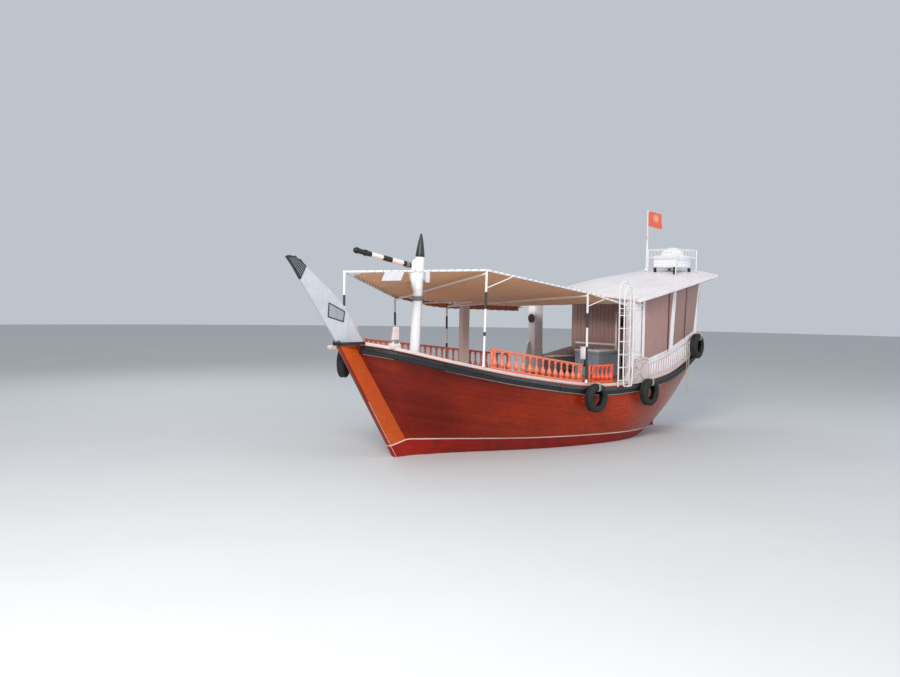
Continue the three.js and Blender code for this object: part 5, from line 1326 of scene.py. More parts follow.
class DHOW_OT_awning_canvas(bpy.types.Operator):
    """Tan canvas laced between the edge pipes, brightened as painted light through the cloth, with seams, a
    scalloped edge in painted shade and small hanging cloths
    """
    bl_idname = "dhow.awning_canvas"
    bl_label = "Awning canvas"

    def execute(self, context):
        skin = 0.004
        share = np.linspace(0.07, 0.985, 250)
        port, starboard = edge_point(PORT, share), edge_point(STARBOARD, share)
        across = np.linspace(0, 1, 90)[None]
        wide = np.linalg.norm(port - starboard, axis=1)[:, None]
        inset = 0.03 / wide
        sheet = lerp(port[:, None], starboard[:, None], (inset + (1 - 2 * inset) * across)[..., None])
        aft = sheet[..., 0]
        bay = np.interp(aft, [-1.29, 1.1, 3.4, 5.37], np.arange(4))
        hang = np.sin(np.pi * (bay % 1)) ** 2 * np.sin(np.pi * across) * sizes().canvas_sag
        bellies = np.sin(np.pi * across) * np.minimum(1, wide / 3) * 0.006
        near_edge = np.exp(-across * wide / 0.12) + np.exp(-(1 - across) * wide / 0.12)
        tugs = 0.012 * (1 - np.cos(2 * np.pi * share[:, None] * 44)) * near_edge
        ripples = 0.006 * np.sin(aft * 9 + 4 * across) * np.sin(across * np.pi * 5 + aft)
        seams = 0.004 * np.exp(-((((aft + 0.3) % 0.95) - 0.475) / 0.012) ** 2)
        sheet[..., 2] += PIPE + 0.004 - hang + bellies - tugs + ripples + seams
        # The slit from the mast towards the port bow: its direction, and the one square to it.
        slit, square = np.array([-0.643, 0.766]), np.array([0.766, 0.643])
        from_mast = sheet[..., :2] - [mast_aft(3.7), 0]
        aside = from_mast @ square
        beyond = from_mast @ slit > 0
        gap = np.where(beyond, np.abs(aside), np.linalg.norm(from_mast, axis=-1))
        away = np.where(beyond[..., None], np.sign(aside)[..., None] * square, unit(from_mast))
        sheet[..., :2] += away * np.maximum(0, 0.175 - gap)[..., None]
        sheet[..., 2] += 0.02 * np.exp(-((gap - 0.15) / 0.1) ** 2)
        top = at(sheet[..., 0], sheet[..., 1], sheet[..., 2] + skin / 2)
        under = top - [0, 0, skin]
        keep = (gap[:-1, :-1] > 0.14) | (gap[1:, 1:] > 0.14)
        canvas = Shell()
        canvas.grid(top, flip=True)
        canvas.grid(under)
        chosen = np.tile(keep.ravel(), 2)
        canvas.faces = [face for face, stays in zip(canvas.faces, chosen) if stays]
        canvas.maps = np.asarray(canvas.maps).reshape(-1, 4, 2)[chosen].reshape(-1, 2).tolist()
        canvas.slots = canvas.slots[:len(canvas.faces)]
        piece = canvas.make("awning_cloth", "canvas", "awning_canvas", sharp=70, solid=False)
        area = float(cells(top)[keep].sum())
        # The valance is canvas in a darker brown: painted shade along the starboard edge of the awning.
        valance = Shell()
        share = np.linspace(0.38, 0.98, 300)
        line = edge_point(STARBOARD, share)
        scallop = np.abs(np.sin(np.pi * share * 30)) ** 0.6
        taper = np.clip((share - 0.36) / 0.2, 0.15, 1)
        drop = sizes().valance * taper * (0.88 + 0.12 * scallop)
        depth = np.linspace(0, 1, 8)
        wave = 0.012 * np.sin(share * 260)[:, None] * depth
        aft, out, up = line.T[..., None]
        outer = at(aft, out + 0.028 + wave, up + 0.012 - drop[:, None] * depth)
        for shift, flip in ((0, True), (0.003, False)):
            valance.grid(outer + [0, shift, 0], flip=flip)
        hem = valance.make("awning_valance", "canvas edge", sharp=70, solid=False)
        lacing = Shell()
        for side in SIDES.values():
            table = edge_point(side, np.linspace(0.06, 0.985, 1200))
            turns = run_of(table) / sizes().lacing_pitch
            phase = np.linspace(0, 2 * np.pi * turns, len(table))
            reach = PIPE + 0.006
            aft, out, up = table.T
            out = out - side * (0.012 - (reach + 0.012) * np.cos(phase))
            lacing.wire(at(aft, out, up + 0.004 + reach * np.sin(phase)), 0.005, 5)
        lacing.make("awning_lacing", "grey rope")
        flat_long, flat_wide = run_of(top[:, 45]), run_of(top[180])
        max(flat_wide, area / flat_long)
        for k, (aft, wide, deep, slant) in enumerate([(-0.47, 0.32, 0.2, -0.10), (0.07, 0.07, 0.24, 0.0)]):
            drape = Shell()
            u, v = np.meshgrid(np.linspace(0, 1, 30), np.linspace(0, 1, 24), indexing="ij")
            fold = 0.01 * np.sin(u * 13 + v * 2 + k) * v
            edge = edge_at(PORT, aft + (u - 0.5) * wide)
            outer = at(edge[..., 0] + slant * v, edge[..., 1] + 0.03 + fold, edge[..., 2] + 0.01 - v * deep)
            for shift, flip in ((0, False), (0.003, True)):
                drape.grid(outer - [0, shift, 0], flip=flip)
            hung = drape.make(f"hanging_cloth_{k}", "white cloth", sharp=70, solid=False)
        return {"FINISHED"}


# Half a turned baluster, as radius against height, for a height of one.
BALUSTER = [(0, 0), (0.040, 0), (0.043, 0.02), (0.036, 0.05), (0.022, 0.07), (0.040, 0.11), (0.058, 0.19),
            (0.060, 0.26), (0.049, 0.36), (0.030, 0.47), (0.020, 0.58), (0.019, 0.66), (0.030, 0.70),
            (0.030, 0.73), (0.020, 0.76), (0.022, 0.82), (0.034, 0.90), (0.036, 0.95), (0.028, 1.0), (0, 1.0)]
# Half the section of the top rail, from its foot to its crown.
RAIL_HEAD = np.array([(0.026, -0.046), (0.028, -0.034), (0.034, -0.03), (0.034, -0.012), (0.026, -0.002),
                      (0.012, 0.003)])
RAIL_TOPS = {PORT: [(1.2, 2.34), (4.1, 1.88), (5.0, 1.86)],
             STARBOARD: [(-0.2, 2.46), (1.29, 2.31), (4.33, 1.99), (5.3, 1.90)]}


def balustrade(shell, side, fore, aft, spacing, level=False, lift=0.0):
    """Foot rail, turned balusters and moulded top rail between two places along the cap rail."""
    table = np.array(RAIL_TOPS[side])

    def top(here):
        return np.interp((fore + aft) / 2 + 0 * np.asarray(here) if level else here, table[:, 0], table[:, 1])

    here = np.linspace(fore, aft, max(6, int((aft - fore) * 12)))
    foot_rise = 0.07 + 0.0225 + lift
    shell.tube(edge_along(here, side, box_section(0.058, 0.045, 0.008) + [[-0.055, foot_rise]]),
               flip=side > 0)
    rise = top(here) - sheer(here)[1] + lift
    head = np.roll([*RAIL_HEAD, *(RAIL_HEAD * [-1, 1])[::-1]], 1, axis=0)
    points = along_sheer(here[:, None], side, -0.055 + head[None, :, 0], rise[:, None] + head[None, :, 1])
    shell.tube(points, flip=side > 0)
    count = max(2, int(round((aft - fore) / spacing)))
    for k in range(count):
        place = lerp(fore, aft, (k + 0.5) / count)
        foot = cap_top(place) + 0.042 + lift
        high = top(place) - 0.04 - foot + lift
        profile = np.array(BALUSTER) * [1, high]
        shell.lathe(profile, at(place, side * cap_middle(place), foot), None, 14)
    for end in (fore + 0.024, aft - 0.024):
        foot = cap_top(end) + lift + 0.003
        middle = side * cap_middle(end)
        shell.stud(end, middle, foot, top(end) + lift - 0.004, 0.046, 0.046, 0.006)


class DHOW_OT_balustrades(bpy.types.Operator):
    """Turned balusters on both cap rails, the gate post and the boarding gate"""
    bl_idname = "dhow.balustrades"
    bl_label = "Balustrades"

    def execute(self, context):
        gap = sizes().baluster_gap
        for name, side, fore, aft in (("port", PORT, 1.29, 3.86), ("starboard", STARBOARD, -0.06, 4.96)):
            turned_rail = Shell()
            balustrade(turned_rail, side, fore, aft, gap)
            turned_rail.make(f"balustrade_{name}_turned", "orange", f"balustrade_{name}")
        hinge, out = 4.15, cap_middle(4.15)
        post = Shell()
        low, _ = corners_of("gate_post")
        post.stud(hinge - 0.045, out, low[2] + 0.002, 1.885, 0.054, 0.054, 0.006)
        post.lathe([[0.030, 0], [0.030, 0.004], [0.02, 0.008], [0.008, 0.011], [0, 0.012]],
                   at(hinge - 0.045, out, 1.887), None, 16)
        for foot in (1.5235, 1.6805, 1.7035, 1.8605):
            post.bar(at(hinge - 0.02, out, foot + 0.018), at(hinge + 0.012, out, foot + 0.018), 0.026, 0.0355,
                     0.004)
        post.make("gate_post_shaped", "orange", "gate_post")
        gate = Shell()
        balustrade(gate, PORT, 4.185, 4.905, 0.145, True, 0.012)
        for foot in (1.56, 1.74):
            gate.rod(at(hinge, out, foot + 0.0006), at(hinge, out, foot + 0.1194), 0.013, 16, 1)
            gate.bar(at(hinge, out, foot + 0.06), at(4.30, cap_middle(4.30), foot + 0.06), 0.01, 0.10, 0.003,
                     slot=1)
        # The gate takes the balustrade's orange painted redder as sunlight.
        gate.make("boarding_gate_turned", "orange deep, iron", "boarding_gate",
                  body="gate_body")
        return {"FINISHED"}


# The cabin. Roof rows are aft, half width, eave up, crown above the eave, as in the part's source.
ROOF_ROWS = np.array([
    [5.59, 1.965, 3.325, 0.14], [6.30, 1.93, 3.46, 0.26], [7.10, 1.86, 3.615, 0.30], [8.10, 1.76, 3.81, 0.26],
    [9.12, 1.65, 4.005, 0.19]])
BULWARK_TOP = np.array([[5.94, 1.85], [7.03, 2.08], [8.34, 2.45], [8.83, 2.60]])
DOORWAY = {"low": 1.47, "high": 3.0, "from": 0.04, "to": 0.64}


def roof_under(aft, out):
    """Height of the roof's underside: an arc over each place along the boat."""
    half, eave, crown = (np.interp(aft, ROOF_ROWS[:, 0], ROOF_ROWS[:, k]) for k in (1, 2, 3))
    return eave + crown * (1 - (out / half) ** 2)


def bulwark_top(aft):
    return np.interp(aft, BULWARK_TOP[:, 0], BULWARK_TOP[:, 1])


def lean(aft):
    """How far the head of a side wall stands aft of its foot."""
    return 0.205 * np.maximum(0, (aft - 8.0) / 0.79)


class DHOW_OT_roof(bpy.types.Operator):
    """Cambered white roof with plank seams, a fascia round its edge and battens under it"""
    bl_idname = "dhow.roof"
    bl_label = "Roof"

    def execute(self, context):
        here = np.linspace(5.59, 9.12, 120)
        half = np.interp(here, ROOF_ROWS[:, 0], ROOF_ROWS[:, 1])
        boards = 26
        edge = (np.arange(boards)[:, None] + [0.0, 0.06, 0.5, 0.94]).ravel() / boards
        f = np.append(edge, 1.0) * 2 - 1
        groove = np.append(np.tile([0.004, 0, 0, 0], boards), 0.004)
        out = half[:, None] * f * 0.998
        under = roof_under(here[:, None], out)
        slab = Shell()
        slab.grid(at(here[:, None], out, under + 0.0445 - groove), flip=False)
        slab.grid(at(here[:, None], out, under + 0.0005 + groove * 0.5), flip=True)
        for k in (0, -1):
            rim, end = (here, out[:, k], under[:, k]), (here[k], out[k], under[k])
            for (aft, reach, up), flip in ((rim, k != 0), (end, k == 0)):
                slab.grid(np.stack([at(aft, reach, up + 0.044), at(aft, reach, up)], 1), flip=flip)
        slab.make("roof_boards", "white", "roof", sharp=50, solid=False)
        trim = Shell()
        for side in SIDES.values():
            trim.strip(at(here, side * (half - 0.006), roof_under(here, half) + 0.018), 0.024, 0.066, 0.007)
        across = np.linspace(1, -1, 60)

        def athwart(place, narrower):
            """Points under the roof from side to side, and their half breadth."""
            reach = across * (np.interp(place, ROOF_ROWS[:, 0], ROOF_ROWS[:, 1]) - narrower)
            return reach, roof_under(place, reach)

        for place, deep in ((5.6, 0.075), (9.11, 0.066)):
            reach, up = athwart(place, 0)
            trim.strip(at(place, reach * 0.995, up + 0.014), 0.026, deep, 0.007)
        trim.make("roof_fascia", "white")
        ribs = Shell()
        for place in np.linspace(6.2, 8.6, 5):
            reach, up = athwart(place, 0.42)
            ribs.strip(at(place, reach, up - 0.022), 0.05, 0.05, 0.006)
        inner, edge = here[8:-8], half[8:-8]
        for side in SIDES.values():
            ribs.strip(at(inner, side * (edge - 0.03), roof_under(inner, edge) - 0.014), 0.03, 0.028, 0.008,
                       slot=1)
        ribs.make("roof_beams", "white, black")
        return {"FINISHED"}


# The fore edge of a pillar's scrolled bracket: rows of distance aft and height.
WING_EDGE = [(5.43, 1.44), (5.43, 1.56), (5.475, 1.70), (5.47, 1.80), (5.49, 1.93), (5.52, 2.06),
             (5.555, 2.19), (5.605, 2.26)]
# The carved knees: rows of distance aft and rise above the sheer.
KNEE_TOP = [(5.435, 0.05), (5.50, 0.17), (5.56, 0.32), (5.64, 0.48), (5.76, 0.58), (5.95, 0.60), (6.16, 0.56)]
KNEE_CARVING = [
    [(5.56, 0.03), (5.68, 0.10), (5.80, 0.25), (5.92, 0.40), (6.06, 0.47)],
    [(6.06, 0.03), (5.93, 0.10), (5.80, 0.25), (5.70, 0.38), (5.62, 0.36)]]


class DHOW_OT_cabin_front(bpy.types.Operator):
    """Pillars with mouldings and scrolled brackets, the arched beam between them, a round clock and a lamp"""
    bl_idname = "dhow.cabin_front"
    bl_label = "Cabin front"

    def execute(self, context):
        for name, side in SIDES.items():
            low, high = corners_of(f"pillar_{name}")
            shaft = Shell()
            base = low[2]
            shaft.inset(low, high, 0.012, base + 0.001, base + 1.86, 0.01)
            for foot, tall in ((0.0, 0.12), (0.60, 0.05), (1.78, 0.06)):
                shaft.inset(low, high, 0.001, base + foot + 0.001, base + foot + tall, 0.008)
            face = low[1] if side < 0 else high[1]
            back, front = face - 0.012, face - 0.001
            for foot, head in ((0.18, 0.56), (0.72, 1.70)):
                for x in (low[0] + 0.035, high[0] - 0.055):
                    shaft.block([x, back, base + foot], [x + 0.02, front, base + head], 0.003)
                for up in (base + foot, base + head):
                    shaft.block([low[0] + 0.035, back, up - 0.01], [high[0] - 0.035, front, up + 0.01], 0.003)
            shaft.inset(low, high, 0.02, base + 1.8, high[2] - 0.012, 0.008)
            shaft.make(f"pillar_{name}_moulded", "white upright", f"pillar_{name}")
            low, high = corners_of(f"wing_bracket_{name}")
            drop, middle = low[2] - 1.44, (low[1] + high[1]) / 2
            wave = rounded(WING_EDGE, 5) + [0, drop]
            wing = Shell()
            wing.plate([*wave, (5.6085, 2.26 + drop), (5.6085, 1.44 + drop)], middle, 0.06, 0.008)
            angle = np.linspace(0, 3.4 * np.pi, 60)
            reach = 0.052 * (1 - angle / 12.5)
            for face in (middle - 0.034, middle + 0.034):
                for turn, start in ((1, 1.62), (-1, 1.86)):
                    up = start + drop + turn * reach * np.sin(angle)
                    wing.wire(at(5.545 + reach * np.cos(angle), face, up), 0.006, 6)
                wing.wire(at(wave[:, 0] + 0.018, face, wave[:, 1]), 0.007, 6)
            wing.make(f"wing_bracket_{name}_scroll", "white upright", f"wing_bracket_{name}")
            carved = Shell()
            along, rise = rounded(KNEE_TOP, 6).T
            rim, base = sheer(along)

            def on_knee(aft, up, away):
                return at(aft, side * (np.interp(aft, along, rim) + away), np.interp(aft, along, base) + up)

            corners = ((0 * rise, 0.0), (0 * rise, 0.045), (rise, 0.045), (rise, 0.0))
            carved.tube(np.stack([on_knee(along, up, away) for up, away in corners], 1))
            for slot, lift in enumerate((0.03, 0.06)):
                carved.wire(on_knee(along, np.maximum(0.012, rise - lift), 0.046), 0.007, 6, slot)
            for curve in KNEE_CARVING:
                carved.wire(on_knee(*rounded(curve, 8).T, 0.046), 0.009, 6, slot=1)
            hub = on_knee(5.80, 0.25, 0.044)
            carved.lathe([[0.040, 0.001], [0.032, 0.010], [0.014, 0.018], [0.0, 0.019]], hub,
                         hub + [0, side, 0], 16)
            carved.make(f"carved_knee_{name}", "rose upright, grey")
        low, high = corners_of("front_beam")
        beam = Shell()
        across = np.linspace(high[1] - 0.001, low[1] + 0.001, 60)
        drop = high[2] - (roof_under(5.8, 0.0) + 0.02)
        arch = np.stack([(low[0] + high[0]) / 2 + 0 * across, across, roof_under(5.8, across) + drop - 0.085],
                        -1)
        beam.strip(arch, 0.118, 0.205, 0.012)
        for rise in (-0.075, 0.055):
            for back in (-0.058, 0.058):
                beam.strip(arch + [back, 0, rise], 0.012, 0.016, 0.004)
        beam.make("front_beam_arch", "white", "front_beam")
        low, high = corners_of("pillar_starboard")
        clock = Shell()
        centre = np.array([high[0] - 0.012, (low[1] + high[1]) / 2, low[2] + 1.42])
        ahead = centre + [1, 0, 0]
        clock.lathe([[0.0, 0.002], [0.1, 0.002], [0.112, 0.008], [0.112, 0.026], [0.1, 0.032], [0.094, 0.026],
                     [0.0, 0.025]], centre, ahead, 36)
        clock.lathe([[0.0, 0.025], [0.085, 0.0255], [0.085, 0.027], [0.0, 0.027]], centre, ahead, 36)
        # Each mark and hand: proud of the wall, start and end of its reach, angle, width.
        marks = [(0.028, 0.066, 0.08, hour * np.pi / 6, 0.007) for hour in range(12)]
        hands = [(0.029, 0, 0.045, 0.9, 0.006), (0.029, 0, 0.065, 2.3, 0.006)]
        for proud, start, end, angle, wide in marks + hands:
            near, far = (centre + [proud, r * math.cos(angle), r * math.sin(angle)] for r in (start, end))
            clock.bar(near, far, 0.003, wide, 0.001, (1, 0, 0))
        clock.make("wall_clock", "clock face, plastic")
        lamp = Shell()
        hook = at(6.3, -0.35, roof_under(6.3, -0.35))
        crown, below = hook - [0, 0, 0.16], hook - [0, 0, 1]
        lamp.rod(hook, crown, 0.006, 8)
        lamp.lathe([[0.0, 0.0], [0.03, 0.004], [0.05, 0.04], [0.11, 0.075], [0.115, 0.085], [0.1, 0.085],
                    [0.05, 0.06], [0.0, 0.05]], crown, below, 28)
        lamp.lathe([[0.0, 0.07], [0.035, 0.08], [0.05, 0.11], [0.045, 0.145], [0.02, 0.17], [0.0, 0.172]],
                   crown, below, slot=1)
        lamp.make("cabin_lamp", "white, plastic")
        return {"FINISHED"}


def side_strip(shell, side, fore, aft, away, rise_low, rise_high, thick, slot=0):
    """A strip that follows the side between two heights, which are functions of the place aft."""
    here = np.linspace(fore, aft, max(4, int((aft - fore) / 0.06)))
    out, _ = sheer(here)
    low, high = rise_low(here), rise_high(here)
    outer, inner = side * (out + away), side * (out + away - thick)
    rows = np.stack([at(here, outer, low), at(here, outer, high), at(here, inner, high),
                     at(here, inner, low)], 1)
    return shell.tube(rows, flip=side < 0, slot=slot)


class DHOW_OT_cabin_sides(bpy.types.Operator):
    """Poop bulwarks with slats and mouldings, boarded side walls with a raked pilaster and stern post"""
    bl_idname = "dhow.cabin_sides"
    bl_label = "Cabin sides"

    def execute(self, context):
        board, back = sizes().panel_board, 8.79
        for name, side in SIDES.items():
            bulwark = Shell()

            def run(fore, aft, away, low, high, thick, slot=0):
                """A strip of the bulwark between rises given as (1 for its top or 0 for the sheer, rise)."""
                def height(rise):
                    return lambda here: (bulwark_top(here) if rise[0] else sheer(here)[1]) + rise[1]
                side_strip(bulwark, side, fore, aft, away, height(low), height(high), thick, slot)

            run(5.94, back, -0.006, (0, 0.0005), (1, -0.0005), 0.054)
            run(5.945, 8.785, 0.012, (0, 0.012), (0, 0.055), 0.02)
            run(5.945, 8.785, 0.006, (0, 0.10), (0, 0.118), 0.02)
            run(5.94, back, 0.022, (1, -0.05), (1, -0.004), 0.034, 1)
            run(5.945, 8.785, 0.012, (1, -0.085), (1, -0.052), 0.02, 1)
            for place in np.arange(6.06, 8.72, 0.115):
                out, foot = sheer(place)
                bulwark.bar(at(place, side * (out - 0.001), foot + 0.13),
                            at(place + 0.01, side * (out - 0.001), bulwark_top(place) - 0.095),
                            0.034, 0.016, 0.004, (0, 1, 0), slot=1)
            bulwark.make(f"poop_bulwark_{name}_slatted", "rose, white", f"poop_bulwark_{name}",
                         sharp=50)
            # The starboard wall starts further aft, and its posts stand further aft too.
            start, shift = (5.94, 0) if side > 0 else (7.16, 0.26)
            wall = Shell()
            shares = np.linspace(0, 1, 8)[:, None]
            for fore in np.arange(start, back, board):
                rear = min(fore + board, back)
                places = np.array([fore, fore + 0.004, rear - 0.004, rear])
                outs = sheer(places)[0] - 0.008 - np.array([0.006, 0, 0, 0.006])
                up = lerp(bulwark_top(places) + 0.0005, roof_under(places, sheer(places)[0]) + 0.01, shares)
                for inward, flip in ((0.0, side < 0), (0.042, side > 0)):
                    wall.grid(at(places + lean(places) * shares, side * (outs - inward), up), flip=flip)
            for end in (start, back):
                out, _ = sheer(end)
                up = lerp(bulwark_top(end), roof_under(end, out) + 0.01, shares)
                wall.grid(at(end + lean(end) * shares, side * (out - 0.008 - np.array([0, 0.042])), up),
                          flip=(end == start) == (side < 0))
            wall.make(f"side_wall_{name}_boards", "mauve", f"side_wall_{name}", sharp=50,
                      solid=False)
            frames = Shell()
            for low, high in ((0.0, 0.035), (0.955, 1.0)):
                places = np.linspace(start + 0.02, 8.7, 30)[:, None]
                share, inward = np.array([low, high, high, low]), np.array([0, 0, 0.02, 0.02])
                out, _ = sheer(places)
                up = lerp(bulwark_top(places) + 0.004, roof_under(places, out) - 0.012, share)
                frames.tube(at(places + lean(places) * share, side * (out + 0.002 - inward), up),
                            flip=side < 0)

            def upright(foot_aft, head_aft, wide, proud, slot=0, bow=0.0, thick=0.024):
                """A board up the wall, from its place at the bulwark to its place under the roof."""
                share = np.linspace(0, 1, 24)[:, None]
                middle = lerp(foot_aft, head_aft, share) - bow * np.sin(np.pi * share)
                head = roof_under(head_aft, sheer(min(foot_aft, back))[0]) - 0.008
                out = sheer(np.minimum(middle, back))[0] - 0.008 + proud
                across, inward = np.array([-1, 1, 1, -1]) * wide / 2, np.array([0, 0, thick, thick])
                up = lerp(bulwark_top(foot_aft) + 0.003, head, share)
                frames.tube(at(middle + across, side * (out - inward), up), flip=side > 0, slot=slot)

            near = 7.10 if side > 0 else 7.3
            upright(start + 0.05, start + 0.05, 0.09, 0.012)
            upright(near, near + 0.04, 0.035, 0.011, 1)
            upright(7.24 + shift, 7.40 + shift, 0.13, 0.026, thick=0.03)
            upright(7.245 + shift, 7.405 + shift, 0.05, 0.034, thick=0.012)
            upright(8.02, 8.14, 0.03, 0.011, 1)
            upright(8.70, 8.93, 0.15, 0.018, 0, 0.05, 0.05)
            upright(8.73, 8.95, 0.06, 0.028, 0, 0.05, 0.012)
            frames.make(f"side_wall_{name}_frames", "white upright, clock face", sharp=50)
        return {"FINISHED"}


KNOB = [(0.0, 0), (0.026, 0.0), (0.026, 0.004), (0.009, 0.006), (0.009, 0.026), (0.02, 0.032), (0.024, 0.042),
        (0.016, 0.052), (0, 0.055)]


class DHOW_OT_cabin_ends(bpy.types.Operator):
    """Boarded stern wall with framed window openings, the bulkhead with its doorway, and the panelled door"""
    bl_idname = "dhow.cabin_ends"
    bl_label = "Cabin ends"

    def execute(self, context):
        finish_node("mauve", "stern_wall", "cabin_bulkhead")
        rake = 0.21 / 2.22

        def stern_aft(up):
            return 8.79 + (up - 2.03) * rake

        trim = Shell()
        for out in (-0.62, 0.0, 0.62):
            for edge in (out - 0.205, out + 0.205):
                trim.bar(at(stern_aft(2.82) + 0.008, edge, 2.82), at(stern_aft(3.38) + 0.008, edge, 3.38),
                         0.045, 0.02, 0.005, (1, 0, 0))
            for up in (2.833, 3.367):
                place = stern_aft(up) + 0.011
                trim.bar(at(place, out - 0.24, up), at(place, out + 0.24, up), 0.024, 0.045, 0.005)
        for up in (2.12, 2.74, 3.46, 3.95):
            place = stern_aft(up) + 0.006
            trim.bar(at(place, -1.14, up), at(place, 1.14, up), 0.02, 0.05, 0.006)
        for out in np.arange(-1.08, 1.1, 0.18):
            trim.bar(at(stern_aft(2.15) + 0.003, out, 2.15), at(stern_aft(2.715) + 0.003, out, 2.715),
                     0.016, 0.012, 0.003, (1, 0, 0))
        trim.make("stern_wall_trim", "white")
        front = Shell()
        face = 7.094
        left, right, foot, head = (DOORWAY[k] for k in ("from", "to", "low", "high"))
        for out in (left - 0.03, right + 0.03):
            front.stud(face, out, foot - 0.03, head + 0.05, 0.055, 0.03, 0.006)
        front.bar(at(face, left - 0.06, head + 0.03), at(face, right + 0.06, head + 0.03), 0.03, 0.055, 0.006)
        for out in np.arange(-1.36, 1.4, 0.136):
            if not left - 0.08 < out < right + 0.08:
                front.stud(face + 0.004, out, 1.46, 3.52, 0.014, 0.01, 0.003, slot=1)
        front.bar(at(face + 0.002, -1.4, 2.2), at(face + 0.002, -0.02, 2.2), 0.02, 0.05, 0.005)
        front.make("bulkhead_trim", "white upright, mauve")
        hinge = -3.384
        low, high = np.array([hinge - 0.588, 0.027, 1.476]), np.array([hinge - 0.02, 0.061, 2.994])
        door = Shell()
        door.block(low + [0.001, 0.004, 0.001], high - [0.001, 0.004, 0.001])
        for foot, head in ((0.0, 0.14), (0.68, 0.80), (1.40, 1.518)):
            door.block([low[0] + 0.001, low[1], low[2] + foot + 0.001],
                       [high[0] - 0.001, high[1], low[2] + head - 0.001])
        for x in (low[0] + 0.001, high[0] - 0.111):
            door.block([x, low[1] + 0.0005, low[2] + 0.001], [x + 0.11, high[1] - 0.0005, high[2] - 0.001])
        for foot in (1.75, 2.70):
            door.rod([hinge, 0.044, foot + 0.0006], [hinge, 0.044, foot + 0.1194], 0.013, slot=1)
            door.block([hinge - 0.10, 0.0585, foot], [hinge, 0.064, foot + 0.12], 0.002, 1)
        for face_y, way in ((high[1], 1), (low[1], -1)):
            spot = np.array([low[0] + 0.055, face_y, low[2] + 0.95])
            door.lathe(KNOB, spot, spot + [0, way, 0], 20, 1)
        door.make("cabin_door_panelled", "mauve, iron", "cabin_door", body="door_body")
        return {"FINISHED"}


# A spoke of the steering wheel with its handle, as radius against distance from the hub's middle.
SPOKE = [(0.0, 0.04), (0.012, 0.04), (0.013, 0.06), (0.009, 0.09), (0.012, 0.15), (0.014, 0.19),
         (0.01, 0.215), (0.01, 0.285), (0.014, 0.29), (0.010, 0.30), (0.0145, 0.32), (0.0155, 0.335),
         (0.009, 0.345), (0.0, 0.3455)]


class DHOW_OT_helm_and_engine(bpy.types.Operator):
    """Steering wheel with turned handles, the helm box, and the boarded engine casing with its hatch"""
    bl_idname = "dhow.helm_and_engine"
    bl_label = "Helm and engine"

    def execute(self, context):
        finish_node("iron", "engine")
        finish_node("white upright", "helm_box")
        finish_node("grey", "engine_casing")
        finish_node("rose upright", "boxed_post_starboard")
        centre = np.array([-2.917, 1.02, 2.15])
        wheel = Shell()
        angle = np.linspace(0, 2 * np.pi, 65)
        outward = np.stack([0 * angle, np.cos(angle), np.sin(angle)], -1)[:, None]
        rim = box_section(0.034, 0.034, 0.009)[None]
        wheel.grid(centre + outward * (0.25 + rim[..., :1]) + rim[..., 1:] * [1.0, 0, 0], around=True)
        for turn in np.arange(6) * np.pi / 3:
            wheel.lathe(SPOKE, centre, centre + [0, math.cos(turn), math.sin(turn)], 14)
        wheel.lathe([[0.0228, -0.03], [0.045, -0.03], [0.05, -0.022], [0.05, 0.02], [0.04, 0.028],
                     [0.0228, 0.028]],
                    centre, centre + [1, 0, 0], 30, 1)
        wheel.make("steering_wheel_turned", "orange, bronze", "steering_wheel",
                   body="wheel_body")
        panel = Shell()
        low, high = corners_of("helm_box")
        panel.block([low[0] + 0.01, low[1] - 0.012, high[2] - 0.02],
                    [high[0] - 0.042, high[1] + 0.012, high[2] + 0.012], 0.006)
        foot, head, fore_face = 1.44, 2.028, -2.185
        for side in SIDES.values():
            for x in np.arange(-2.93, -2.2, 0.14):
                panel.block([x - 0.006, side * 0.4 - 0.004, foot], [x + 0.006, side * 0.4 + 0.004, head],
                            0.002, 1)
        for y in np.arange(-0.33, 0.4, 0.13):
            panel.block([fore_face - 0.004, y - 0.006, foot], [fore_face + 0.004, y + 0.006, head], 0.002, 1)
        for up in (1.46, head):
            for side in SIDES.values():
                panel.block([-3.012, side * 0.405 - 0.008, up - 0.025],
                            [-2.18, side * 0.405 + 0.008, up + 0.025], slot=1)
            panel.block([-2.189, -0.405, up - 0.025], [-2.172, 0.405, up + 0.025], slot=1)
        panel.make("casing_battens", "white, grey")
        low, high = corners_of("engine_hatch")
        lid = Shell()
        lid.block([-3.003, low[1] + 0.001, 2.0608], [high[0] - 0.001, high[1] - 0.001, 2.0955], 0.008)
        for y in (-0.26, 0.0, 0.26):
            lid.block([-2.94, y - 0.035, 2.094], [-2.24, y + 0.035, 2.102], 0.003)
        lid.rod([-3.031, -0.149, 2.082], [-3.031, 0.149, 2.082], 0.014, 16, 1)
        lid.block([-3.031, -0.149, 2.079], [-2.97, 0.149, 2.089], 0.003, 1)
        grip = [(-2.30, -0.09, 2.10), (-2.30, -0.085, 2.125), (-2.30, 0, 2.135), (-2.30, 0.085, 2.125),
                (-2.30, 0.09, 2.10)]
        lid.wire(rounded(grip, 8), 0.007, 10, 1)
        lid.make("engine_hatch_lid", "white, iron", "engine_hatch", body="hatch_body")
        return {"FINISHED"}


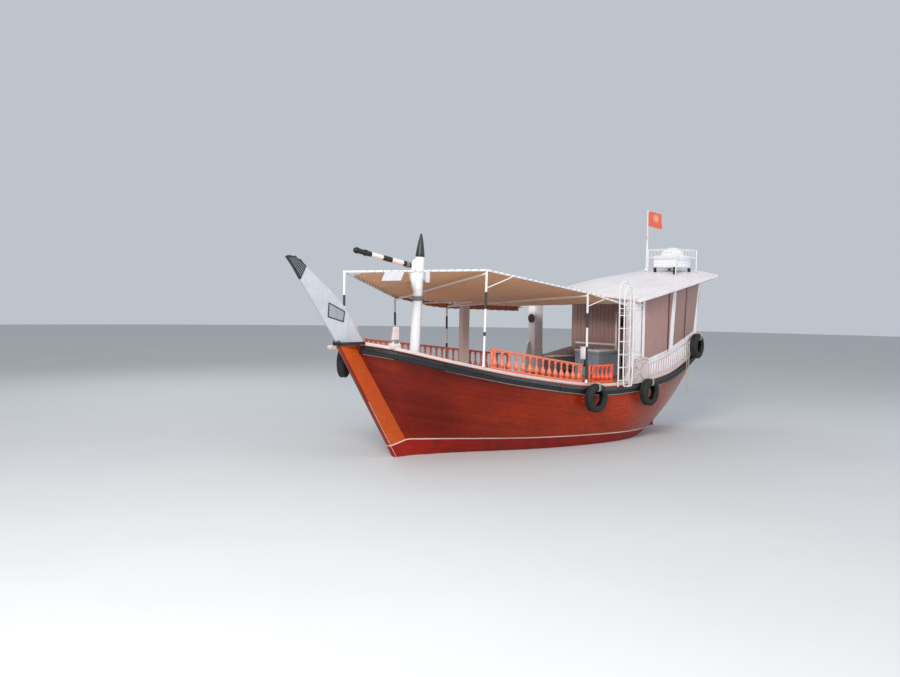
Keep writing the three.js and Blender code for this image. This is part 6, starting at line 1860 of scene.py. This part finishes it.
class DHOW_OT_roof_gear(bpy.types.Operator):
    """Ribbed water tank in its pipe rack, the flagpole with its halyard, and the flag"""
    bl_idname = "dhow.roof_gear"
    bl_label = "Roof gear"

    def execute(self, context):
        low, high = corners_of("roof_tank")
        floor = high[2] - 0.528
        tank = Shell()
        tank.inset(low, high, 0.008, floor + 0.001, floor + 0.328, 0.03)
        for rise in (0.05, 0.13, 0.21, 0.29):
            tank.inset(low, high, 0, floor + rise - 0.012, floor + rise + 0.012, 0.008)
        for x in (low[0] + 0.04, high[0] - 0.04):
            for y in (low[1] + 0.04, high[1] - 0.04):
                foot = roof_under(STEM_X - x, y) + 0.04
                tank.block([x - 0.03, y - 0.03, foot], [x + 0.03, y + 0.03, floor + 0.01], 0.006, slot=1)
        middle = np.array([(low[0] + high[0]) / 2, (low[1] + high[1]) / 2, floor + 0.328])
        tank.lathe([[0.30, 0], [0.298, 0.02], [0.286, 0.06], [0.262, 0.10], [0.23, 0.14], [0.17, 0.172],
                    [0.125, 0.186], [0.125, 0.196], [0.115, 0.2], [0.0, 0.2]], middle, None, 48)
        tank.make("roof_tank_ribbed", "plastic, iron", "roof_tank")
        low, high = corners_of("tank_rack")
        rack = Shell()
        left, right, near, far = low[0] + 0.015, high[0] - 0.015, low[1] + 0.015, high[1] - 0.015
        ring = np.array([(left, near, 0), (right, near, 0), (right, far, 0), (left, far, 0)])
        top = np.array([0, 0, high[2]])
        for corner, other in zip(ring, np.roll(ring, -1, 0)):
            foot = corner + [0, 0, roof_under(STEM_X - corner[0], corner[1]) + 0.045]
            rack.rod(foot, corner + top, 0.015, 16)
            rack.lathe([[0.015, 0], [0.036, 0], [0.036, 0.006], [0.019, 0.01]], foot, None, 16)
            for drop in (0.012, 0.222):
                rack.rod(corner + top - [0, 0, drop], other + top - [0, 0, drop], 0.012, 12)
            for share in np.linspace(0.12, 0.88, 7):
                spot = lerp(corner, other, share) + top
                rack.rod(spot - [0, 0, 0.222], spot - [0, 0, 0.012], 0.004, 6)
        rack.make("tank_rack_pipes", "pipe", "tank_rack")
        low, high = corners_of("flagpole")
        base = at(8.3, 0, low[2])
        pole = Shell()
        tall = high[2] - low[2]
        pole.lathe([[0.06, 0.02], [0.06, 0.075], [0.045, 0.09], [0.028, 0.10], [0.026, 0.3],
                    [0.016, tall - 0.03], [0.024, tall - 0.026], [0.026, tall - 0.012],
                    [0.012, tall - 0.001]], base)
        pole.stud(8.262, 0.0, 4.95, 5.07, 0.012, 0.02, 0.003, slot=1)
        for out in (-0.024, 0.024):
            pole.rod(at(8.272, out, 4.98), at(8.29, out * 0.8, high[2] - 0.03), 0.003, 6, slot=1)
        pole.make("flagpole_turned", "pipe, rope", "flagpole")
        f = np.linspace(0, 1, 60)[:, None]
        g = np.linspace(0, 1, 36)[None]
        out = sizes().flag_ripple * f * np.sin(2 * np.pi * f + 1.1 * g) + 0.006 * np.sin(15 * f + 5 * g) * f
        up = 5.735 - 0.04 * f * f - 0.4 * g + 0.006 * np.sin(np.pi * 2 * f) * g
        face = at(8.318 + 0.56 * f + 0 * g, out, up)
        cloth_shell = Shell()
        cloth_shell.grid(face + [0, 0.0015, 0])
        cloth_shell.grid(face - [0, 0.0015, 0], flip=True)
        flag = cloth_shell.make("flag_cloth", "flag", "flag", sharp=80, solid=False)
        return {"FINISHED"}


class DHOW_OT_ladder(bpy.types.Operator):
    """Hooped boarding ladder of white pipe, and the box of stores on the rail beside it"""
    bl_idname = "dhow.ladder"
    bl_label = "Boarding ladder"

    def execute(self, context):
        low, high = corners_of("boarding_ladder")
        out, foot, top = (low[1] + high[1]) / 2, low[2], high[2] - 0.018
        ladder = Shell()

        def hoop(shift, start, crown, inset):
            """One pipe up from a foot, over the crown and down again."""
            middle, half = 5.205, 0.195 - inset
            side = [(half, start), (half, start + 0.5), (half, crown - 0.5), (half, crown - 0.2),
                    (half - 0.05, crown - 0.06)]
            knots = [(-across, up) for across, up in side] + [(0, crown)] + side[::-1]
            ladder.wire(rounded([at(middle + across, out + shift, up) for across, up in knots], 8), 0.017, 14)

        hoop(0, foot, top, 0)
        hoop(0.12, foot + 0.3, top - 0.12, 0.03)
        for k in range(6):
            up = foot + 0.14 + 0.3 * k
            ladder.rod(at(5.01, out, up), at(5.40, out, up), 0.014, 12)
        for up in (foot + 0.75, top - 0.62):
            for aft in (5.025, 5.385):
                ladder.rod(at(aft, out, up), at(aft, out + 0.12, up), 0.011, 10)
        half = [(0.165, 0.32), (0.145, 0.06), (0.085, 0.02)]
        cradle = [(-across, rise) for across, rise in half] + half[::-1]
        knots = [at(5.205 + across, out + 0.12, foot + rise) for across, rise in cradle]
        ladder.wire(rounded(knots, 6), 0.015, 12)
        ladder.make("boarding_ladder_hooped", "pipe", "boarding_ladder")
        stores = Shell()
        place = cap_middle(4.04)
        stores.stud(4.035, place - 0.10, 2.02, 2.28, 0.12, 0.10, 0.008)
        stores.stud(4.035, place - 0.10, 2.278, 2.298, 0.13, 0.11, 0.006)
        stores.stud(4.035, place - 0.07, 1.86, 2.03, 0.03, 0.03, 0.004, slot=1)
        stores.bar(at(4.03, place - 0.105, 1.87), at(4.03, place - 0.01, 1.87), 0.03, 0.03, 0.004, slot=1)
        stores.make("rail_box", "white, iron")
        bench = Shell()
        start, end = 6.05, 7.02
        rim = -(sheer(start)[0] - 0.10)
        bench.bar(at(start, rim + 0.16, 1.84), at(end, rim + 0.16, 1.84), 0.34, 0.03, 0.006)
        # Painted shade: the bench's front board and legs take the grey paint, as the shaded face below its
        # white, lit seat.
        bench.bar(at(start + 0.02, rim + 0.29, 1.64), at(end - 0.02, rim + 0.29, 1.64), 0.025, 0.37, 0.005,
                  slot=1)
        for share in np.linspace(0.02, 0.94, 5):
            bench.stud(lerp(start, end, share) + 0.02, rim + 0.275, 1.45, 1.82, 0.02, 0.03, 0.004, slot=1)
        bench.make("side_bench", "white, grey")
        return {"FINISHED"}


TYRE_SECTION = [(0.172, -0.050), (0.19, -0.082), (0.235, -0.093), (0.284, -0.086), (0.309, -0.064),
                (0.3195, -0.045), (0.3195, 0.045), (0.309, 0.064), (0.284, 0.086), (0.235, 0.093),
                (0.19, 0.082), (0.172, 0.050), (0.188, 0.052), (0.24, 0.066), (0.29, 0.05), (0.29, -0.05),
                (0.24, -0.066), (0.188, -0.052)]
TYRES = [("port_waist", PORT, 4.12), ("port_poop", PORT, 6.05), ("port_quarter", PORT, 8.50),
         ("starboard_bow", STARBOARD, -0.62), ("starboard_waist", STARBOARD, 3.0),
         ("starboard_poop", STARBOARD, 6.05)]


class DHOW_OT_fenders(bpy.types.Operator):
    """Hollow old tyres with worn tread blocks, hung as fenders on rope slings"""
    bl_idname = "dhow.fenders"
    bl_label = "Fender tyres"

    def execute(self, context):
        section = rounded(TYRE_SECTION, 3, closed=True)
        blocks, upward = sizes().tread_blocks, np.array([0, 0, 1.0])
        angle = np.linspace(0, 2 * np.pi, blocks * 6 + 1)[:, None]
        for name, side, aft in TYRES:
            low, high = corners_of(f"tyre_{name}")
            middle = (low + high) / 2
            across = unit(np.array([widening(aft, 0.01), side, 0.0]))
            along = np.cross(upward, across)

            def wheel(radius, wide, turn):
                """Points of the tyre, at a radius, a distance across it and an angle."""
                return middle + ((radius * np.cos(turn))[..., None] * along
                                 + (radius * np.sin(turn))[..., None] * upward + wide * across)

            radius, wide = section[None, :, 0], section[None, :, 1]
            tread = smooth_steps(0.308, 0.318, radius)
            block = np.sin(angle * blocks + 2.2 * np.sign(wide) * np.sin(wide * 60)) > 0.72
            groove = np.abs(np.abs(wide) - 0.018) < 0.005
            wear = 0.0012 * np.sin(angle * 3 + 1) * tread
            radius = radius - tread * np.where(block | groove, 0.006, 0.0) + wear
            tyre = Shell()
            tyre.grid(wheel(radius, wide[..., None], angle), around=True, flip=side < 0)
            for rim in (0.262, 0.198):
                bead = wheel(rim, 0.0925, np.linspace(0, 2 * np.pi, 97))
                tyre.tube(swept(bead, round_section(0.0035, 6)), ends=False)
            tyre.make(f"tyre_{name}_treaded", "rubber", f"tyre_{name}", sharp=35)
            above_rail = middle[2] > sheer(aft)[1]
            rest = (bulwark_top(aft) if above_rail else cap_top(aft)) - middle[2]
            inboard = 0.115 if above_rail else 0.155
            # The sling's points: across the tyre, how much of its side shift, and up from its middle.
            points = [(-inboard, 2, rest + 0.008), (0.08 - inboard, 1.6, rest + 0.012), (0.06, 1, 0.345),
                      (0.104, 1, 0.29), (0.112, 1, 0.24), (0.10, 1, 0.175), (0.03, 1, 0.152),
                      (-0.05, 1, 0.16)]
            if rest > 0.34:
                points[1:3] = [(0.03 - inboard, 1.6, rest - 0.03), (0, 1, 0.336)]
            sling = Shell()
            for shift in (-0.02, 0.02):
                path = [middle + across * a + along * shift * k + upward * b for a, k, b in points]
                rope_on(sling, rounded(path, 8), 0.008)
            sling.make(f"tyre_{name}_sling", "rope")
        return {"FINISHED"}


class DHOW_OT_stern_gear(bpy.types.Operator):
    """Iron straps of the rudder, and the propeller with its twisted blades"""
    bl_idname = "dhow.stern_gear"
    bl_label = "Rudder and propeller"

    def execute(self, context):
        # The rudder takes the same varnish, painted brighter as sunlight.
        finish_node("stem", "rudder")
        axis, forward = np.array([-0.34947, 0, 0.93695]), np.array([0.93695, 0, 0.34947])
        foot = at(8.179, 0, 0)
        straps = Shell()
        for rise, long in ((0.36, 0.42), (0.80, 0.26), (1.38, 0.17)):
            for side in SIDES.values():
                start, reach = foot + axis * rise + [0, side * 0.033, 0], forward * long
                straps.bar(start, start - reach, 0.008, 0.05, 0.003)
                for share in (0.15, 0.5, 0.85):
                    bolt = start - reach * share + [0, side * 0.003, 0]
                    straps.lathe([[0.0, 0], [0.011, 0], [0.009, 0.004], [0.0, 0.006]], bolt,
                                 bolt + [0, side, 0], 10)
        straps.make("rudder_straps", "iron", body="rudder_body")
        hub = at(7.37, 0, -0.58)
        screw = Shell()
        screw.lathe([[0.0405, -0.075], [0.05, -0.05], [0.057, 0.0], [0.0575, 0.06], [0.05, 0.0745]], hub,
                    hub + [-1, 0, 0], 32)
        screw.rod(hub + [0.07, 0, 0], at(7.09, 0, -0.58), 0.0298, 24)
        r = np.linspace(0.05, 0.252, 24)[:, None]
        c = np.linspace(-1, 1, 15)[None]
        share = (r - 0.05) / 0.202
        chord = 0.09 * np.sin(np.pi * (0.22 + 0.74 * share)) ** 0.55
        twist = np.arctan(0.42 / (2 * np.pi * r)) + 0.12
        belly = 1 - c ** 2
        for k in range(3):
            faces = []
            for face in (1, -1):
                lift = face * 0.009 * belly * (1.1 - share) + 0.006 * belly
                ahead = c * chord * np.sin(twist) + lift * np.cos(twist)
                sweep = (c * chord * np.cos(twist) - lift * np.sin(twist)) / r
                spin = k * 2 * np.pi / 3 + 0.35 * share + sweep
                faces.append(hub + np.stack([ahead, r * np.sin(spin), r * np.cos(spin)], -1))
            screw.grid(faces[0])
            screw.grid(faces[1], flip=True)
            screw.grid(np.stack([faces[0][-1], faces[1][-1]]))
        screw.make("propeller_blades", "bronze", "propeller", body="propeller_body")
        return {"FINISHED"}


class VIEW3D_PT_dhow(bpy.types.Panel):
    """Lists the steps that build the dhow, and the sizes and colours that they use"""
    bl_idname = "VIEW3D_PT_dhow"
    bl_label = "Passenger dhow"
    bl_space_type = "VIEW_3D"
    bl_region_type = "UI"
    bl_category = "Dhow"

    def draw(self, context):
        for step in STEPS:
            self.layout.operator(step.bl_idname)
        for group in (context.scene.dhow_sizes, context.scene.dhow_colors):
            for name in group.bl_rna.properties.keys():
                if name not in ("rna_type", "name"):
                    self.layout.prop(group, name)


STEPS = [
    DHOW_OT_stage, DHOW_OT_stern_rope, DHOW_OT_planking, DHOW_OT_keel, DHOW_OT_decks, DHOW_OT_rails,
    DHOW_OT_stem_board, DHOW_OT_bollards, DHOW_OT_mast_and_spar, DHOW_OT_awning_frame, DHOW_OT_awning_canvas,
    DHOW_OT_balustrades, DHOW_OT_roof, DHOW_OT_cabin_front, DHOW_OT_cabin_sides, DHOW_OT_cabin_ends,
    DHOW_OT_helm_and_engine, DHOW_OT_roof_gear, DHOW_OT_ladder, DHOW_OT_fenders, DHOW_OT_stern_gear,
]
CLASSES = [DhowSizes, DhowColors, *STEPS, VIEW3D_PT_dhow]


def register():
    for one in CLASSES:
        bpy.utils.register_class(one)
    bpy.types.Scene.dhow_sizes = bpy.props.PointerProperty(type=DhowSizes)
    bpy.types.Scene.dhow_colors = bpy.props.PointerProperty(type=DhowColors)


def unregister():
    del bpy.types.Scene.dhow_colors
    del bpy.types.Scene.dhow_sizes
    for one in reversed(CLASSES):
        bpy.utils.unregister_class(one)


def main():
    register()
    for step in STEPS:
        group, name = step.bl_idname.split(".")
        getattr(getattr(bpy.ops, group), name)()


if __name__ == "__main__":
    main()
